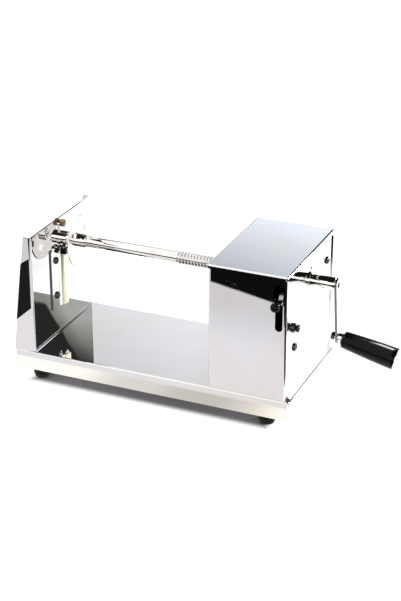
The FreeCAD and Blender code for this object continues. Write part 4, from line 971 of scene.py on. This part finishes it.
def paint_floor(finish):
    """Table, white to the eye but for the shadow by the pan, partly cast and partly painted; to
    mirrors it ends in front.
    """
    camera, glossy, through = finish.read(
        "ShaderNodeLightPath", "Is Camera Ray", "Is Glossy Ray", "Is Transmission Ray")
    local, = finish.read("ShaderNodeTexCoord", "Object")
    across, along, _ = finish.split(local)
    left, right, front, rear = -0.1830, 0.0920, -0.0632, 0.0569      # the shadow's sides
    beside = (across - right).largest(left - across)
    before = (along - rear).largest(front - along)
    # Painted shadow: the glow that whitens the table is left off by the pan, so only the dark grey
    # floor shows there, under the cast shadow.
    white = beside.rise(-0.008, 0.004).largest(before.rise(-0.005, 0.0085))
    lit = finish.add("ShaderNodeAddShader", {}, {0: finish.diffuse(SHADOW_GREY),
                                                 1: finish.glow(WHITE, white)})[0]
    plain = finish.blend(camera.largest(through), finish.diffuse(colours().floor), lit)
    near = along.rise(-0.110, -0.104)
    by_pan = along.rise(-0.075, -0.050).largest(across.rise(0.112, 0.120))
    tint = finish.mix(by_pan, finish.mix(near, COOL_FLOOR, WARM_FLOOR), WHITE)
    table = (along - TABLE_END - across * TABLE_SLANT).rise(-0.003, 0.003)
    seen = finish.glow(tint, 0.006 + table * floor_light(across, along, near))
    finish.surface(finish.blend(glossy, plain, seen))


def sky_light(x, z, rear, upper):
    """How bright mirrors see the room in each direction."""
    dark, pale, bright = 0.06, 1.30, 1.9
    low_sky = (0.81 + (x + 0.33) * 3.8 - (z - 0.397) * 14.0).largest(0.55).smallest(1.25)
    high_sky = (1.08 - (z - 0.436) * 5.3 + (x + 0.36).smallest(0.0) * 2.7).largest(0.70)
    sky = low_sky + (high_sky - low_sky) * upper
    sky = dark + (sky - dark) * z.rise(0.27, 0.355)
    room = pale + (sky - pale) * rear
    room = room + (bright - room) * x.rise(0.02, 0.12)
    return room * (1.0 - x.rise(0.12, 0.20) * z.rise(0.50, 0.58) * 0.985)


def paint_world(finish):
    """White room; to mirrors, a pale sky behind the machine that dims upwards and to the left."""
    camera, glossy = finish.read("ShaderNodeLightPath", "Is Camera Ray", "Is Glossy Ray")
    way, = finish.read("ShaderNodeTexCoord", "Generated")
    x, y, z = finish.split(way)
    rear = y.rise(0.3, 0.6) * (1.0 - z.rise(0.52, 0.66))
    upper = z.rise(0.408, 0.420)
    plain = 0.72 + camera * 0.28
    strength = plain + glossy * (sky_light(x, z, rear, upper) - plain)
    tint = finish.mix(glossy * rear, WHITE, finish.mix(upper, COOL_SKY, PALE_SKY))
    background = finish.add("ShaderNodeBackground", {}, {"Color": tint, "Strength": strength})[0]
    finish.add("ShaderNodeOutputWorld", {}, {"Surface": background})


def paint_rear_card(finish):
    """Grey card behind the machine that glows, darker towards its top and black in its right
    corner: a painted reflection in the end bracket and the pan.
    """
    local, = finish.read("ShaderNodeTexCoord", "Object")
    across, _, height = finish.split(local)
    across, height = across - SHIFT.x, height - SHIFT.z
    inward = 0.318 - across - (height - 0.266) * 0.64
    grey = (0.687 - (height - 0.270).largest(0.0) * 7.85).largest(0.02)
    grey = grey * (0.62 + inward.rise(0.0, 0.038) * 0.38)
    corner = (inward * -1.0).rise(-0.002, 0.003) * height.rise(0.254, 0.262)
    corner = corner.largest(across.rise(0.350, 0.356))
    finish.surface(finish.glow(CARD_GREY, grey + (0.035 - grey) * corner))


def paint_black_card(finish):
    """Black card that is only there for what looks at its front, a painted dark reflection."""
    back, = finish.read("ShaderNodeNewGeometry", "Backfacing")
    clear, = finish.add("ShaderNodeBsdfTransparent")
    finish.surface(finish.blend(back, finish.glow(CARD_BLACK, 1.0), clear))


def paint_bright_card(finish):
    """Soft light that only shows as a glint."""
    finish.surface(finish.glow(CARD_WHITE, GLINT))


def add_card(name, centre, facing, width, depth, paint):
    """A flat card that only mirrors see, with its centre and its half sizes in millimetres."""
    bm = bmesh.new()
    place = aim(spot(*centre), facing) @ Matrix.Diagonal((width, depth, 1.0, 1.0))
    bmesh.ops.create_grid(bm, x_segments=1, y_segments=1, size=1.0, matrix=place)
    card = add_object(name, mesh_from(name, bm, "cutter_" + name, paint))
    card.visible_camera = card.visible_diffuse = card.visible_transmission = False
    card.visible_shadow = card.visible_volume_scatter = False


def add_lamp(name, place, size, power):
    """A square lamp that mirrors don't see."""
    data = bpy.data.lights.new(name, "AREA")
    data.shape, data.size, data.energy = "SQUARE", size, power
    lamp = add_object(name, data)
    lamp.location = place
    lamp.rotation_euler = (LAMP_AIM - Vector(place)).to_track_quat("-Z", "Y").to_euler()
    lamp.visible_glossy = lamp.visible_camera = False


class CUTTER_OT_stage(CutterOperator):
    """Lay the table, hang the lamps and stand the camera"""
    bl_idname = "cutter.stage"
    bl_label = "Stage"

    def execute(self, context):
        scene = context.scene
        for leftover in ("Cube", "Light", "Camera"):
            if leftover in bpy.data.objects:
                bpy.data.objects.remove(bpy.data.objects[leftover])
        bm = bmesh.new()
        bmesh.ops.create_grid(bm, x_segments=1, y_segments=1, size=FLOOR_HALF_SIZE)
        floor = add_object("floor", mesh_from("floor", bm, "cutter_floor", paint_floor))
        add_card("rear_card", (325.0, 600.0, 335.0), -Y, 100.0, 365.0, paint_rear_card)
        add_card("grip_card", (372.0, 168.0, 165.0), Vector((-0.05, -0.59, -0.806)), 20.0, 34.0,
                 paint_bright_card)
        # Painted reflections: the black cards, seen only in mirrors, lay dark bands along the feed
        # rod.
        add_card("end_card", (304.5, 127.5, 150.0), -Z, 25.5, 102.5, paint_black_card)
        add_card("left_card", (-72.0, 85.0, 180.0), -Z, 28.0, 145.0, paint_black_card)
        world = bpy.data.worlds.new("cutter_world")
        world.use_nodes = True
        paint_world(Finish(world.node_tree))
        scene.world = world
        add_lamp("key_lamp", (-0.7, -1.1, 1.7), 1.3, 7.0)
        add_lamp("fill_lamp", (1.4, 0.5, 1.6), 1.2, 4.0)
        data = bpy.data.cameras.new("camera")
        data.sensor_fit, data.sensor_height, data.lens = "VERTICAL", SENSOR_HEIGHT, CAMERA_LENS
        camera = add_object("camera", data)
        camera.location = CAMERA_PLACE
        turn = (CAMERA_AIM - CAMERA_PLACE).to_track_quat("-Z", "Y").to_matrix()
        camera.rotation_euler = (turn @ Matrix.Rotation(CAMERA_ROLL, 3, "Z")).to_euler()
        scene.camera = camera
        scene.view_settings.view_transform = "Standard"
        return {"FINISHED"}


# ---- panel and registration ------------------------------------------------
STEPS = (CUTTER_OT_stage, CUTTER_OT_sheets, CUTTER_OT_feed_rod, CUTTER_OT_clutch_spring,
         CUTTER_OT_screws, CUTTER_OT_bolts, CUTTER_OT_nuts, CUTTER_OT_rivets, CUTTER_OT_grip,
         CUTTER_OT_knob, CUTTER_OT_feet)


class CUTTER_PT_panel(bpy.types.Panel):
    """The cutter's sizes, colours and steps"""
    bl_label = "Potato cutter"
    bl_idname = "CUTTER_PT_panel"
    bl_space_type = "VIEW_3D"
    bl_region_type = "UI"
    bl_category = "Cutter"

    def draw(self, context):
        for settings in (context.scene.cutter_sizes, context.scene.cutter_colours):
            box = self.layout.box()
            for name in settings.__annotations__:
                box.prop(settings, name)
        for step in STEPS:
            self.layout.operator(step.bl_idname)


CLASSES = (CutterSizes, CutterColours, *STEPS, CUTTER_PT_panel)


def register():
    for item in CLASSES:
        bpy.utils.register_class(item)
    bpy.types.Scene.cutter_sizes = PointerProperty(type=CutterSizes)
    bpy.types.Scene.cutter_colours = PointerProperty(type=CutterColours)


def unregister():
    del bpy.types.Scene.cutter_colours
    del bpy.types.Scene.cutter_sizes
    for item in reversed(CLASSES):
        bpy.utils.unregister_class(item)


def main():
    register()
    bpy.ops.cutter.stage()
    bpy.ops.cutter.sheets()
    bpy.ops.cutter.feed_rod()
    bpy.ops.cutter.clutch_spring()
    bpy.ops.cutter.screws()
    bpy.ops.cutter.bolts()
    bpy.ops.cutter.nuts()
    bpy.ops.cutter.rivets()
    bpy.ops.cutter.grip()
    bpy.ops.cutter.knob()
    bpy.ops.cutter.feet()


if __name__ == "__main__":
    main()
